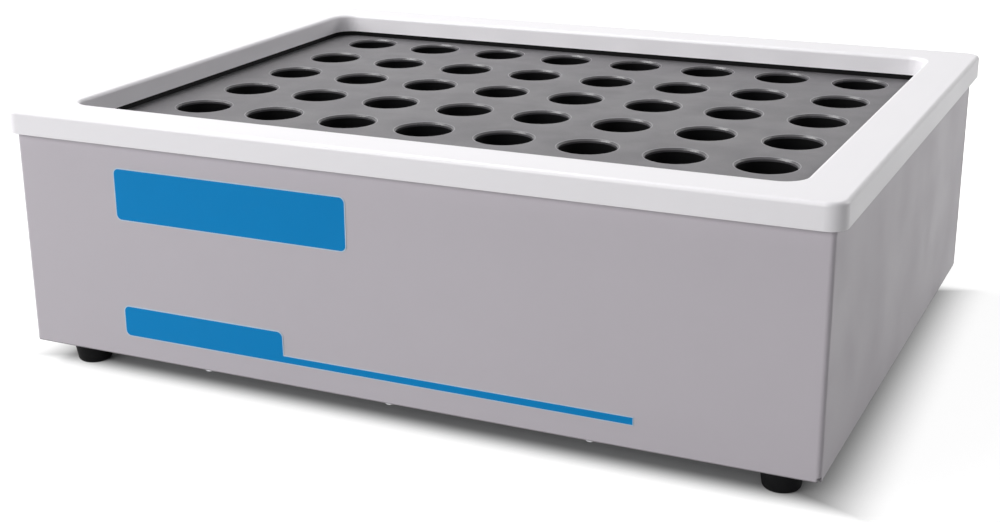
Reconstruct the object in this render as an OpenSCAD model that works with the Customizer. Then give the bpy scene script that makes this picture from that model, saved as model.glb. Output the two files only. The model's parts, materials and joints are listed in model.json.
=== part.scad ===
// Block digester: a low steel case with a moulded white rim around a heated block of wells.
// The front faces -Y, +X is to the right and +Z is up. The origin is on the bench, under the
// middle of the rim. All sizes are in millimetres.

/* [Case] */
// Width of the sheet steel case
body_w = 447; // [441:1:470]
// Depth of the case from front to rear
body_d = 341; // [336:1:360]
// Height of the case wall that shows below the rim
body_h = 120.5; // [118:0.5:132]
// Thickness of the case sheet
sheet = 1.2; // [1:0.1:1.5]
// Outer radius of the bent corners
bend_r = 2.5; // [2:0.1:3.5]
// Width of the inward flange along the bottom edge
bottom_flange = 8; // [7.5:0.5:9]
// Width of the inward flanges that the rear panel is screwed to
rear_flange = 13; // [12:0.5:14]
// Thickness of the base plate and of the tray
plate_t = 1.5; // [1.2:0.1:2]
// Play around the base plate
plate_fit = 0.3; // [0.2:0.05:0.5]

/* [Feet] */
// Clear height under the case
foot_h = 15.5; // [11:0.5:18]
// Diameter of a foot at its top
foot_d = 23; // [19:0.5:24]
// Diameter of a foot where it meets the bench
foot_base_d = 19; // [15:0.5:20]
// Distance from the side of the case to a foot's axis
foot_inset_x = 23; // [22.5:0.5:26]
// Distance from the front or rear of the case to a foot's axis
foot_inset_y = 21; // [20:0.5:25]

/* [Rim] */
// Height of the rim's outer face
rim_h = 13; // [12:0.5:16]
// How far the rim stands out past the case at the sides
rim_over_x = 4.5; // [4:0.5:6]
// How far the rim stands out past the case at the front and rear
rim_over_y = 5; // [5:0.5:7]
// Wall of the rim moulding
rim_wall = 3; // [2.6:0.1:3.4]
// Corner radius of the rim in plan
rim_r = 9; // [7:0.5:12]
// Rounding of the rim's outer top edge
rim_round = 2.2; // [1.5:0.1:2.5]
// Corner radius of the opening in plan
open_r = 12; // [9:0.5:14]
// Rounding of the opening's top edge
open_round = 2; // [1:0.1:2.4]
// Depth of the opening's wall below the top of the rim
recess_depth = 11.2; // [10:0.1:12]
// Thickness of the seal between the rim and the block
seal_t = 3; // [2:0.1:4]
// Width of the flange that carries the rim
frame_flange = 13; // [12:0.5:13.5]
// Height of the pads under the rim
pad_h = 2.5; // [2:0.1:3]

/* [Wells] */
// Diameter of a well
well_d = 30.7; // [28:0.1:32]
// Distance between wells from left to right
pitch_x = 47.5; // [46:0.1:48.5]
// Distance between wells from front to rear
pitch_y = 50.5; // [49:0.1:51.5]
// Thickness of the block under the wells
well_floor = 8.3; // [7.5:0.1:10]
// Distance from the outer wells to the opening at the sides
margin_x = 20.4; // [18:0.1:21.5]
// Distance from the outer wells to the opening at the front and rear
margin_y = 7.4; // [6.5:0.1:8.5]
// How far the block runs on under the rim
block_lip = 4; // [3.5:0.1:5]

/* [Heating] */
// Clear height of the electronics bay
bay_h = 34.3; // [33.5:0.1:38]
// Length of the standoffs under the block
standoff_h = 18.5; // [18:0.1:21]
// Diameter of a standoff
standoff_d = 12; // [10:0.5:13]
// Thickness of a heater mat
mat_t = 2; // [1.5:0.1:2.5]
// Thickness of the plate that clamps the mats
clamp_t = 2; // [1.5:0.1:2.5]
// Thickness of the insulation under the block
under_board_t = 10; // [8:0.5:10]
// Gap between the block and the insulation around it
board_gap = 1.2; // [1:0.1:2]
// Least thickness of the insulation around the block
board_min = 11.5; // [11:0.1:12]

/* [Rear connections] */
// Middle of the mains inlet, from the middle of the case
inlet_x = 140; // [135:1:150]
// Middle of the power switch
switch_x = 84; // [78:1:90]
// Middle of the controller port
port_x = -150; // [-160:1:-130]
// Height of the connections above the inner face of the base plate
plug_rise = 17.3; // [17:0.1:18.5]
// Travel of the fuse drawer
drawer_travel = 22; // [21:0.5:24]
// Angle between the two positions of the power switch
rocker_swing = 20; // [14:1:22]
// Number of rear ventilation slots
slot_count = 9; // [5:1:11]

/* [Label plates] */
// Width of the upper plate
upper_w = 141; // [120:1:160]
// Height of the upper plate
upper_h = 29; // [24:0.5:34]
// Left edge of both plates, from the left of the case
label_left = 63; // [50:1:80]
// Distance from the rim down to the upper plate
upper_drop = 13.5; // [10:0.5:20]
// Width of the lower plate
lower_w = 101; // [80:1:120]
// Height of the lower plate
lower_h = 17.7; // [14:0.1:22]
// Height of the stripe beside the lower plate
stripe_h = 4.5; // [3:0.1:6]
// Right end of the stripe, from the left of the case
stripe_end = 357; // [250:1:400]
// Distance from the bottom of the case up to the lower plate
lower_rise = 12; // [10:0.5:20]
// Thickness of the label plates
label_t = 0.3; // [0.2:0.05:0.5]

/* [Hidden] */
$fn = 48;

// Colours
white = [0.95, 0.95, 0.96];
grey = [0.70, 0.69, 0.71];
steel = [0.74, 0.75, 0.76];
dark_block = [0.33, 0.32, 0.34];
black = [0.06, 0.06, 0.06];
blue = [0.09, 0.48, 0.71];
board_white = [0.90, 0.88, 0.82];
silicone_orange = [0.80, 0.35, 0.15];
brass = [0.78, 0.64, 0.30];
board_green = [0.10, 0.38, 0.20];

// Number of wells: as many as the case has room for, with the insulation around them
wall_build = sheet + board_min + board_gap + block_lip;
columns = floor((body_w - 2 * (wall_build + margin_x) - well_d) / pitch_x) + 1;
rows = floor((body_d - 2 * (wall_build + margin_y) - well_d) / pitch_y) + 1;

// Heights
case_z = foot_h;
rim_z = case_z + body_h;
top_z = rim_z + rim_h;
frame_z = top_z - rim_wall - pad_h;
seal_z = top_z - recess_depth - seal_t;
base_z = case_z + sheet;
base_top = base_z + plate_t;
tray_z = base_top + bay_h;
tray_top = tray_z + plate_t;
block_z = tray_top + standoff_h;
block_h = seal_z - block_z;
mat_z = block_z - mat_t;
clamp_z = mat_z - clamp_t;
plug_z = base_top + plug_rise;

// Half widths and half depths
half_w = body_w / 2;
half_d = body_d / 2;
rim_w = body_w + 2 * rim_over_x;
rim_d = body_d + 2 * rim_over_y;
inner_w = body_w - 2 * sheet;
open_w = (columns - 1) * pitch_x + well_d + 2 * margin_x;
open_d = (rows - 1) * pitch_y + well_d + 2 * margin_y;
block_w = open_w + 2 * block_lip;
block_d = open_d + 2 * block_lip;
front_in = -half_d + sheet;
rear_in = half_d - sheet;
flange_in = rear_in - sheet;

// Insulation around the block
board_lift = 0.5;
board_drop = 2.3;
board_bottom = tray_top + board_lift;
board_top = seal_z - board_drop;
side_board_t = inner_w / 2 - block_w / 2 - board_gap;
front_board_t = half_d - sheet - block_d / 2 - board_gap;
board_play = 0.3;

// Small clearance that every cut runs past its solid by
past = 1;

// Screws: shank diameters, head diameters and head heights
m3 = 3;
m3_head_d = 5.6;
m3_head_h = 2;
m4 = 4;
m5 = 5;
m5_head_d = 8.5;
m5_head_h = 3.5;
thread_play = 0.05;
shank_play = 0.2;
screw_past = 1.5;
tap_end = 0.5;

// Tray
tray_w = block_w - 28;
tray_d = block_d - 6;
tray_leg_flange = 12;

// Heaters
mat_gap = 12;
mat_in_x = 42;
mat_in_y = 21;
mat_r = 6;
mat_w = (block_w - mat_gap) / 2 - mat_in_x;
mat_d = block_d - 2 * mat_in_y;
mat_hole_d = m5 + 3;
clamp_past = 4;
clamp_w = 2 * (mat_w + clamp_past) + mat_gap;
clamp_d = mat_d + 2 * clamp_past;
clamp_screw_x = [mat_gap / 2 + 40, mat_gap / 2 + mat_w - 38];
clamp_screw_y = [-mat_d / 3, 0, mat_d / 3];
standoff_x = block_w / 2 - 25;
standoff_end_y = block_d / 2 - 33;
standoff_y = [-standoff_end_y, 0, standoff_end_y];
tapped_depth = 6;
sensor_y = -60;
cutout_y = 44;
lead_x = 16;
lead_y = 104;
feed_d = 12;
probe_hex = 8;
probe_collar_h = 3;
probe_tail = 6;

// Rim screws
pad_d = 9;
rim_screw_x = [73.5 - half_w, 0, half_w - 73.5];
rim_screw_y = [90.5 - half_d, half_d - 90.5];
rim_screw_line_x = inner_w / 2 - frame_flange / 2;
rim_screw_line_y = -front_in - frame_flange / 2;
rear_screw_line_y = flange_in - frame_flange / 2;

// Case screws
base_screw_y = [60.5 - half_d, 0, half_d - 60.5];
base_screw_x = [113.5 - half_w, 0, half_w - 113.5];
base_screw_in = bottom_flange / 2 + 0.6;
panel_screw_z = [0.14, 0.5, 0.86];
panel_screw_in = rear_flange / 2 + 0.5;
panel_screw_l = 5;

// Foot screws
foot_recess_d = 9.5;
foot_recess_h = 6;
foot_head_d = 8;
foot_head_h = 2.4;
foot_nut_h = 3.2;
foot_nut_across = 7;

// Mains inlet
inlet_w = 56;
inlet_h = 30;
inlet_flange_t = 2;
inlet_body_w = 52;
inlet_body_h = 27;
socket_w = 24.6;
socket_h = 16.6;
socket_depth = 16;
socket_off = 11.5;
drawer_w = 16;
drawer_h = 20;
drawer_l = drawer_travel + 1;
drawer_off = -15.5;
inlet_body_l = drawer_l + 1;
drawer_play = 0.25;
drawer_face_t = 1.5;
fuse_d = 5.2;
fuse_l = 20;
blade_w = 4;
blade_t = 2;
blade_l = 14;
tab_l = 7;
earth_rise = 4;
live_step = 7;
panel_play = 0.25;

// Power switch
switch_w = 25;
switch_h = 31;
switch_body_w = 21.6;
switch_body_h = 28;
switch_body_l = 24;
switch_flange_t = 1.5;
switch_tab_x = 5;
switch_tab_z = 6;
rocker_w = 16;
rocker_half = 11;
rocker_well = 12;
rocker_side_play = 0.3;
pivot_r = 1.5;
pivot_l = 1.2;
pivot_play = 0.05;
pivot_y = half_d - 2;

// Controller port
port_w = 31;
port_h = 12.5;
port_shell_w = 17;
port_shell_h = 8.4;
port_shell_t = 0.5;
port_out = 4.2;
port_screw_x = 12.5;
port_body_l = 9;
port_pin_d = 1;

// Electronics
relay_x = 20;
relay_y = half_d - 115.5;
relay_w = 58;
relay_d = 45;
relay_h = 20;
sink_w = 88;
sink_d = 64;
sink_h = 9;
relay_lead_drop = 10;
board_x = 111.5 - half_w;
board_y = half_d - 115.5;
board_w = 120;
board_d = 84;
board_t = 1.6;
board_rise = 6;
plug_size = [34, 8, 10];
terminal_x = half_w - 111.5;
terminal_y = half_d - 74.5;
terminal_w = 52;
terminal_d = 22;
terminal_h = 17;
terminal_pitch = 10;
stud_x = half_w - 57.5;
stud_y = half_d - 58.5;
lead_d = 3;

// ---------------------------------------------------------------------------
// Shared shapes
// ---------------------------------------------------------------------------

// Plan of a rectangle with round corners, centred on the origin
module round_plan(w, d, r) {
    square([w - 2 * r, d], center = true);
    square([w, d - 2 * r], center = true);
    for (sx = [-1, 1], sy = [-1, 1])
        translate([sx * (w / 2 - r), sy * (d / 2 - r)]) circle(r);
}

// Upright block with round corners
module round_block(w, d, h, r) {
    linear_extrude(h) round_plan(w, d, r);
}

// Block with round corners whose outer faces follow a profile: the children are the profile's plan
// from a corner's centre, at x = 0, out to the face at x = r, and the core reaches from z0 to z1
module profiled_block(w, d, r, z0, z1) {
    core_w = w - 2 * r;
    core_d = d - 2 * r;
    translate([-core_w / 2, -core_d / 2, z0]) cube([core_w, core_d, z1 - z0]);
    for (side = [0 : 3]) {
        along = side % 2 == 0 ? core_d : core_w;
        out = side % 2 == 0 ? core_w / 2 : core_d / 2;
        rotate(90 * side) translate([out, along / 2, 0]) rotate([90, 0, 0]) linear_extrude(along) children();
    }
    for (sx = [-1, 1], sy = [-1, 1])
        translate([sx * core_w / 2, sy * core_d / 2, 0])
            rotate(sx > 0 ? (sy > 0 ? 0 : 270) : (sy > 0 ? 90 : 180)) rotate_extrude(angle = 90) children();
}

// Upright block with round corners and a round outer top edge
module domed_block(w, d, h, r, e) {
    profiled_block(w, d, r, 0, h) {
        square([r, h - e]);
        square([r - e, h]);
        translate([r - e, h - e]) circle(e);
    }
}

// Hole with round corners whose top edge is rounded over, reaching from z = 0 to h
module flared_hole(w, d, h, r, e) {
    profiled_block(w, d, r, -past, h + past) {
        translate([0, -past]) square([r, h + 2 * past]);
        difference() {
            translate([r - e / 2, h - e]) square([1.5 * e, e + past]);
            translate([r + e, h - e]) circle(e);
        }
    }
}

// Children at every well
module at_wells() {
    for (i = [0 : columns - 1], j = [0 : rows - 1])
        translate([(i - (columns - 1) / 2) * pitch_x, (j - (rows - 1) / 2) * pitch_y, 0]) children();
}

// Children at the four feet
module at_feet() {
    for (sx = [-1, 1], sy = [-1, 1])
        translate([sx * (half_w - foot_inset_x), sy * (half_d - foot_inset_y), 0]) children();
}

// Children at every screw of the rim
module at_rim_screws() {
    for (x = rim_screw_x) {
        translate([x, -rim_screw_line_y, 0]) children();
        translate([x, rear_screw_line_y, 0]) children();
    }
    for (s = [-1, 1], y = rim_screw_y) translate([s * rim_screw_line_x, y, 0]) children();
}

// Children at every screw of the base plate
module at_base_screws() {
    for (s = [-1, 1], y = base_screw_y) translate([s * (half_w - base_screw_in), y, 0]) children();
    for (x = base_screw_x) translate([x, -half_d + base_screw_in, 0]) children();
}

// Children at every screw of the rear panel, turned so that their +Z points out of the panel
module at_panel_screws() {
    for (s = [-1, 1], share = panel_screw_z)
        translate([s * (half_w - panel_screw_in), half_d, case_z + share * body_h])
            rotate([-90, 0, 0]) children();
}

// Children at every clamp screw
module at_clamp_screws() {
    for (s = [-1, 1], x = clamp_screw_x, y = clamp_screw_y) translate([s * x, y, 0]) children();
}

// Children at every standoff
module at_standoffs() {
    for (s = [-1, 1], y = standoff_y) translate([s * standoff_x, y, 0]) children();
}

// Children at every screw of the tray's legs
module at_tray_screws() {
    for (s = [-1, 1], y = standoff_y)
        translate([s * (tray_w / 2 - plate_t - tray_leg_flange / 2), y, 0]) children();
}

// Round headed screw whose head rests on z = 0 and whose shank points down
module pan_screw(d, l, head_d, head_h) {
    side_h = 0.6 * head_h;
    crown_d = 0.7 * head_d;
    slot_l = 0.5 * head_d;
    slot_w = 0.12 * head_d;
    difference() {
        union() {
            cylinder(h = side_h, d = head_d);
            translate([0, 0, side_h]) cylinder(h = head_h - side_h, d1 = head_d, d2 = crown_d);
            translate([0, 0, -l]) cylinder(h = l + side_h / 2, d = d);
        }
        for (a = [0, 90])
            rotate(a) translate([0, 0, head_h]) cube([slot_l, slot_w, head_h], center = true);
    }
}

// Hexagon nut with its bore, standing on z = 0
module hex_nut(across, h, bore) {
    difference() {
        cylinder(h = h, d = across / cos(30), $fn = 6);
        translate([0, 0, -past]) cylinder(h = h + 2 * past, d = bore);
    }
}

// Insulated lead: a tube swept along a route whose corners are eased
module lead(points, d = lead_d) {
    sides = 8;
    route = eased(points);
    heading = headings(route);
    across = carried_along(heading);
    rings = len(route);
    skin = [for (i = [0 : rings - 1], k = [0 : sides - 1])
        route[i] + d / 2 * (cos(360 * k / sides) * across[i]
                            + sin(360 * k / sides) * cross(heading[i], across[i]))];
    wall = [for (i = [0 : rings - 2], k = [0 : sides - 1], half = [0, 1])
        let (a = i * sides + k, b = i * sides + (k + 1) % sides)
            half == 0 ? [a, a + sides, b] : [b, a + sides, b + sides]];
    caps = [[for (k = [0 : sides - 1]) k], [for (k = [sides - 1 : -1 : 0]) (rings - 1) * sides + k]];
    polyhedron(skin, concat(wall, caps));
}

function unit(v) = v / norm(v);

// Route with each corner turned into a short curve
function eased(p, reach = 6, steps = 4) = concat([p[0]], [
    for (i = [1 : len(p) - 2])
        let (back = p[i - 1] - p[i], on = p[i + 1] - p[i],
             a = p[i] + unit(back) * min(reach, 0.45 * norm(back)),
             b = p[i] + unit(on) * min(reach, 0.45 * norm(on)))
            for (k = [0 : steps]) let (t = k / steps) pow(1 - t, 2) * a + 2 * t * (1 - t) * p[i] + t * t * b
], [p[len(p) - 1]]);

// Direction of a route at each of its points
function headings(p) = [for (i = [0 : len(p) - 1])
    unit((i < len(p) - 1 ? unit(p[i + 1] - p[i]) : [0, 0, 0]) + (i > 0 ? unit(p[i] - p[i - 1]) : [0, 0, 0]))];

// Direction across a route at each point, carried on without a twist
function squared(n, t) = unit(n - (n * t) * t);
function carried_along(t) = [
    for (i = 0, n = squared([0.31, 0.57, 0.76], t[0]); i < len(t);
         i = i + 1, n = squared(n, t[min(i, len(t) - 1)])) n];

// ---------------------------------------------------------------------------
// Rim and block
// ---------------------------------------------------------------------------

// White moulded rim: a hollow frame with an outer skirt, an inner wall and pads for its screws
module top_rim() {
    inner_wall_w = open_w + 2 * rim_wall;
    inner_wall_d = open_d + 2 * rim_wall;
    hole_roof = 1;
    color(white)
    difference() {
        union() {
            difference() {
                translate([0, 0, rim_z]) domed_block(rim_w, rim_d, rim_h, rim_r, rim_round);
                translate([0, 0, rim_z - past])
                    round_block(rim_w - 2 * rim_wall, rim_d - 2 * rim_wall, rim_h - rim_wall + past,
                                rim_r - rim_wall);
            }
            translate([0, 0, top_z - recess_depth])
                round_block(inner_wall_w, inner_wall_d, recess_depth - rim_wall / 2, open_r + rim_wall);
            at_rim_screws() translate([0, 0, frame_z]) cylinder(h = pad_h + rim_wall / 2, d = pad_d);
        }
        translate([0, 0, top_z - recess_depth])
            flared_hole(open_w, open_d, recess_depth, open_r, open_round);
        at_rim_screws() translate([0, 0, frame_z - past])
            cylinder(h = pad_h + rim_wall - hole_roof + past, d = m3 + 2 * thread_play);
    }
}

// Black seal that closes the gap between the rim's inner wall and the block
module rim_seal() {
    seal_in = 0.6;
    color(black) translate([0, 0, seal_z]) difference() {
        round_block(open_w + 2 * rim_wall, open_d + 2 * rim_wall, seal_t, open_r + rim_wall);
        translate([0, 0, -past])
            round_block(open_w + 2 * seal_in, open_d + 2 * seal_in, seal_t + 2 * past, open_r + seal_in);
    }
}

// Heated block with a grid of blind wells and tapped holes in its underside
module heating_block() {
    module tapped_hole(d) translate([0, 0, block_z - past]) cylinder(h = tapped_depth + past, d = d);
    color(dark_block) difference() {
        translate([0, 0, block_z]) round_block(block_w, block_d, block_h, open_r + block_lip);
        at_wells() translate([0, 0, block_z + well_floor]) cylinder(h = block_h, d = well_d, $fn = 96);
        at_clamp_screws() tapped_hole(m5 + 2 * thread_play);
        at_standoffs() tapped_hole(m5 + 2 * thread_play);
        translate([0, sensor_y, 0]) tapped_hole(m5 + 2 * shank_play);
    }
}

// ---------------------------------------------------------------------------
// Case
// ---------------------------------------------------------------------------

// Front and sides bent from one sheet, with return flanges at the bottom and the rear
module body_shell() {
    mitre_w = 1.8;
    mitre_l = 2 * bottom_flange * sqrt(2);
    mitre_h = 1.6 * sheet;
    shell_d = body_d - sheet;
    wall_h = frame_z - case_z;
    module outer_plan() translate([0, -sheet / 2]) round_plan(body_w, shell_d, bend_r);
    module inner_plan()
        translate([0, -sheet / 2]) round_plan(inner_w, shell_d - 2 * sheet, bend_r - sheet);
    color(grey) difference() {
        translate([0, 0, case_z]) union() {
            linear_extrude(wall_h) difference() {
                outer_plan();
                inner_plan();
                translate([-half_w + rear_flange, 0]) square([body_w - 2 * rear_flange, body_d]);
            }
            linear_extrude(sheet) difference() {
                outer_plan();
                translate([-half_w + bottom_flange, -half_d + bottom_flange])
                    square([body_w - 2 * bottom_flange, body_d]);
            }
        }
        for (s = [-1, 1])
            translate([s * half_w, -half_d, case_z - past + (mitre_h + past) / 2]) rotate(45 * s)
                cube([mitre_w, mitre_l, mitre_h + past], center = true);
        at_base_screws() translate([0, 0, case_z - past])
            cylinder(h = sheet + 2 * past, d = m3 + 2 * shank_play);
        at_panel_screws() translate([0, 0, -2 * sheet - past])
            cylinder(h = 2 * sheet + past, d = m3 + 2 * thread_play);
    }
}

// Angle frame inside the top of the case, which carries the rim
module top_frame() {
    frame_r = bend_r + 1;
    lip_gap = 1;
    lip_h = frame_z - board_top - lip_gap;
    depth = flange_in - front_in;
    mid_y = (flange_in + front_in) / 2;
    color(steel) difference() {
        translate([0, mid_y, frame_z - lip_h]) difference() {
            round_block(inner_w, depth, lip_h, frame_r);
            translate([0, 0, -past])
                round_block(inner_w - 2 * sheet, depth - 2 * sheet, lip_h - sheet + past, frame_r - sheet);
            translate([0, 0, -past])
                round_block(inner_w - 2 * frame_flange, depth - 2 * frame_flange, lip_h + 2 * past, frame_r);
        }
        at_rim_screws() translate([0, 0, frame_z - sheet - past])
            cylinder(h = sheet + 2 * past, d = m3 + 2 * shank_play);
    }
}

// Flat rear panel with the cut-outs for the connections and a row of ventilation slots
module rear_panel() {
    slot_w = 3;
    slot_h = 22;
    slot_pitch = 8;
    slots_x = -30;
    slot_end = 0.01;
    color(grey) difference() {
        translate([0, rear_in, case_z]) translate([-half_w + panel_play, 0, 0])
            cube([body_w - 2 * panel_play, sheet, frame_z - case_z]);
        translate([inlet_x, half_d, plug_z])
            cube([inlet_body_w + 2 * panel_play, 4 * sheet, inlet_body_h + 2 * panel_play], center = true);
        translate([switch_x, half_d, plug_z])
            cube([switch_body_w + 2 * panel_play, 4 * sheet, switch_body_h + 2 * panel_play], center = true);
        translate([port_x, half_d, plug_z]) rotate([90, 0, 0])
            linear_extrude(4 * sheet, center = true) port_plan(panel_play);
        for (s = [-1, 1])
            translate([port_x + s * port_screw_x, half_d, plug_z]) rotate([90, 0, 0])
                cylinder(h = 4 * sheet, d = m3 + 2 * shank_play, center = true);
        for (i = [0 : slot_count - 1])
            translate([(i - (slot_count - 1) / 2) * slot_pitch + slots_x, half_d, plug_z])
                rotate([90, 0, 0]) linear_extrude(4 * sheet, center = true)
                    round_plan(slot_w, slot_h, slot_w / 2 - slot_end);
        at_panel_screws() translate([0, 0, -sheet - past])
            cylinder(h = sheet + 2 * past, d = m3 + 2 * shank_play);
    }
}

// Base plate that lies on the bottom flanges, with ventilation slots under the electronics
module base_plate() {
    plate_w = inner_w - 2 * plate_fit;
    plate_front = front_in + plate_fit;
    plate_rear = flange_in - plate_fit;
    slot_w = 4;
    slot_l = 60;
    slot_pitch = 12;
    slots = 8;
    slots_x = half_w - 123.5;
    slots_y = 100.5 - half_d;
    slot_end = 0.01;
    color(steel) difference() {
        translate([0, (plate_front + plate_rear) / 2, base_z])
            round_block(plate_w, plate_rear - plate_front, plate_t, bend_r);
        at_base_screws() translate([0, 0, base_z - past])
            cylinder(h = plate_t + 2 * past, d = m3 + 2 * thread_play);
        at_tray_screws() translate([0, 0, base_z - past])
            cylinder(h = plate_t + 2 * past, d = m3 + 2 * shank_play);
        at_feet() translate([0, 0, base_z - past]) cylinder(h = plate_t + 2 * past, d = m4 + 2 * shank_play);
        for (s = [-1, 1], i = [0 : slots - 1])
            translate([s * slots_x + (i - (slots - 1) / 2) * slot_pitch, slots_y, base_z - past])
                linear_extrude(plate_t + 2 * past) round_plan(slot_w, slot_l, slot_w / 2 - slot_end);
        translate([stud_x, stud_y, base_z - past]) cylinder(h = plate_t + 2 * past, d = m5 + 2 * thread_play);
    }
}

// Bent tray that bridges the electronics and carries the block
module block_tray() {
    color(steel) difference() {
        translate([0, 0, base_top]) union() {
            translate([0, 0, bay_h + plate_t / 2]) cube([tray_w, tray_d, plate_t], center = true);
            for (s = [-1, 1]) {
                translate([s * (tray_w - plate_t) / 2, 0, (bay_h + plate_t) / 2])
                    cube([plate_t, tray_d, bay_h + plate_t], center = true);
                translate([s * (tray_w - tray_leg_flange - plate_t) / 2, 0, plate_t / 2])
                    cube([tray_leg_flange + plate_t, tray_d, plate_t], center = true);
            }
        }
        at_tray_screws() translate([0, 0, base_top - past])
            cylinder(h = plate_t + 2 * past, d = m3 + 2 * thread_play);
        at_standoffs() translate([0, 0, tray_z - past])
            cylinder(h = plate_t + 2 * past, d = m5 + 2 * shank_play);
        at_feeds() translate([0, 0, tray_z - past]) cylinder(h = plate_t + 2 * past, d = feed_d);
    }
}

// Children where the leads pass through the tray, the insulation and the clamp plate
module at_feeds() {
    translate([0, sensor_y, 0]) children();
    translate([0, cutout_y, 0]) children();
    for (s = [-1, 1]) translate([s * lead_x, lead_y, 0]) children();
}

// ---------------------------------------------------------------------------
// Feet and fasteners
// ---------------------------------------------------------------------------

// Rubber foot with a rounded bottom edge and a recess for its screw
module foot() {
    edge = 2.5;
    shoulder = 2;
    color(black) rotate_extrude() difference() {
        union() {
            polygon([[0, edge], [foot_base_d / 2, edge], [foot_d / 2, base_z - shoulder],
                     [foot_d / 2, base_z], [0, base_z]]);
            square([foot_base_d / 2 - edge, 1.2 * edge]);
            translate([foot_base_d / 2 - edge, edge]) circle(edge);
        }
        translate([-past, -past]) square([past + (m4 + 2 * shank_play) / 2, base_z + 2 * past]);
        translate([-past, -past]) square([past + foot_recess_d / 2, past + foot_recess_h]);
        translate([-2 * foot_d, -past]) square([2 * foot_d, base_z + 2 * past]);
    }
}

module one_foot(sx, sy) {
    translate([sx * (half_w - foot_inset_x), sy * (half_d - foot_inset_y), 0]) foot();
}

module foot_front_left() { one_foot(-1, -1); }
module foot_front_right() { one_foot(1, -1); }
module foot_rear_left() { one_foot(-1, 1); }
module foot_rear_right() { one_foot(1, 1); }

// Screws up through the feet
module foot_screws() {
    color(steel) at_feet() translate([0, 0, foot_recess_h]) rotate([180, 0, 0])
        pan_screw(m4, base_top + foot_nut_h + screw_past - foot_recess_h, foot_head_d, foot_head_h);
}

module foot_nuts() {
    color(steel) at_feet() translate([0, 0, base_top])
        hex_nut(foot_nut_across, foot_nut_h, m4 + 2 * thread_play);
}

module rim_screws() {
    color(steel) at_rim_screws() translate([0, 0, frame_z - sheet]) rotate([180, 0, 0])
        pan_screw(m3, sheet + pad_h + screw_past, m3_head_d, m3_head_h);
}

module rear_panel_screws() {
    color(steel) at_panel_screws() pan_screw(m3, panel_screw_l, m3_head_d, m3_head_h);
}

module base_screws() {
    color(steel) at_base_screws() translate([0, 0, case_z]) rotate([180, 0, 0])
        pan_screw(m3, sheet + plate_t + screw_past, m3_head_d, m3_head_h);
}

module tray_screws() {
    color(steel) at_tray_screws() translate([0, 0, base_z]) rotate([180, 0, 0])
        pan_screw(m3, 2 * plate_t + screw_past, m3_head_d, m3_head_h);
}

// ---------------------------------------------------------------------------
// Insulation and heaters
// ---------------------------------------------------------------------------

module insulation_front() {
    color(board_white) translate([-block_w / 2 - board_gap + board_play, front_in, board_bottom])
        cube([block_w + 2 * board_gap - 2 * board_play, front_board_t, board_top - board_bottom]);
}

module insulation_rear() {
    color(board_white)
        translate([-block_w / 2 - board_gap + board_play, block_d / 2 + board_gap, board_bottom])
            cube([block_w + 2 * board_gap - 2 * board_play, front_board_t, board_top - board_bottom]);
}

// Board bonded to a side wall, short of the rear panel's screws
module side_board(s) {
    screw_room = 2;
    length = body_d - sheet - bend_r - panel_screw_l - screw_room;
    color(board_white)
        translate([s * (inner_w - side_board_t) / 2, front_in + bend_r + length / 2,
                   (board_top + board_bottom) / 2])
            cube([side_board_t, length, board_top - board_bottom], center = true);
}

module insulation_left() { side_board(-1); }
module insulation_right() { side_board(1); }

// Board on the tray under the heaters, with holes for the leads, the sensor and the cut-out
module insulation_under() {
    pocket = 28;
    head_room = 2;
    color(board_white) difference() {
        translate([0, 0, tray_top + under_board_t / 2])
            cube([clamp_w - 2 * head_room, clamp_d, under_board_t], center = true);
        at_feeds() translate([0, 0, tray_top - past]) cylinder(h = under_board_t + 2 * past, d = feed_d);
        translate([0, cutout_y, tray_top - past]) cylinder(h = under_board_t + 2 * past, d = pocket);
    }
}

// Silicone heater mat for one half of the block
module heater_mat(s) {
    color(silicone_orange) difference() {
        translate([s * (mat_gap + mat_w) / 2, 0, mat_z]) round_block(mat_w, mat_d, mat_t, mat_r);
        at_clamp_screws() translate([0, 0, mat_z - past]) cylinder(h = mat_t + 2 * past, d = mat_hole_d);
    }
}

module heater_mat_left() { heater_mat(-1); }
module heater_mat_right() { heater_mat(1); }

// Plate that presses both mats against the block
module heater_clamp_plate() {
    color(steel) difference() {
        translate([0, 0, clamp_z]) round_block(clamp_w, clamp_d, clamp_t, mat_r);
        at_clamp_screws() translate([0, 0, clamp_z - past])
            cylinder(h = clamp_t + 2 * past, d = m5 + 2 * shank_play);
        translate([0, sensor_y, clamp_z - past]) cylinder(h = clamp_t + 2 * past, d = m5 + 2 * shank_play);
        for (s = [-1, 1]) translate([s * lead_x, lead_y, clamp_z - past])
            cylinder(h = clamp_t + 2 * past, d = feed_d);
    }
}

module clamp_screws() {
    color(steel) at_clamp_screws() translate([0, 0, clamp_z]) rotate([180, 0, 0])
        pan_screw(m5, clamp_t + mat_t + tapped_depth - tap_end, m5_head_d, m5_head_h);
}

module block_standoffs() {
    color(steel) at_standoffs() translate([0, 0, tray_top]) difference() {
        cylinder(h = standoff_h, d = standoff_d);
        translate([0, 0, -past]) cylinder(h = standoff_h + 2 * past, d = m5 + 2 * shank_play);
    }
}

module standoff_screws() {
    color(steel) at_standoffs() translate([0, 0, tray_z]) rotate([180, 0, 0])
        pan_screw(m5, plate_t + standoff_h + tapped_depth - tap_end, m5_head_d, m5_head_h);
}

// Temperature probe that reaches into the block between the mats
module block_sensor() {
    below = probe_collar_h + probe_tail;
    color(steel) translate([0, sensor_y, clamp_z]) {
        translate([0, 0, -below]) cylinder(h = below + clamp_t + mat_t + tapped_depth - tap_end, d = m5);
        translate([0, 0, -probe_collar_h]) cylinder(h = probe_collar_h, d = probe_hex / cos(30), $fn = 6);
    }
}

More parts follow.
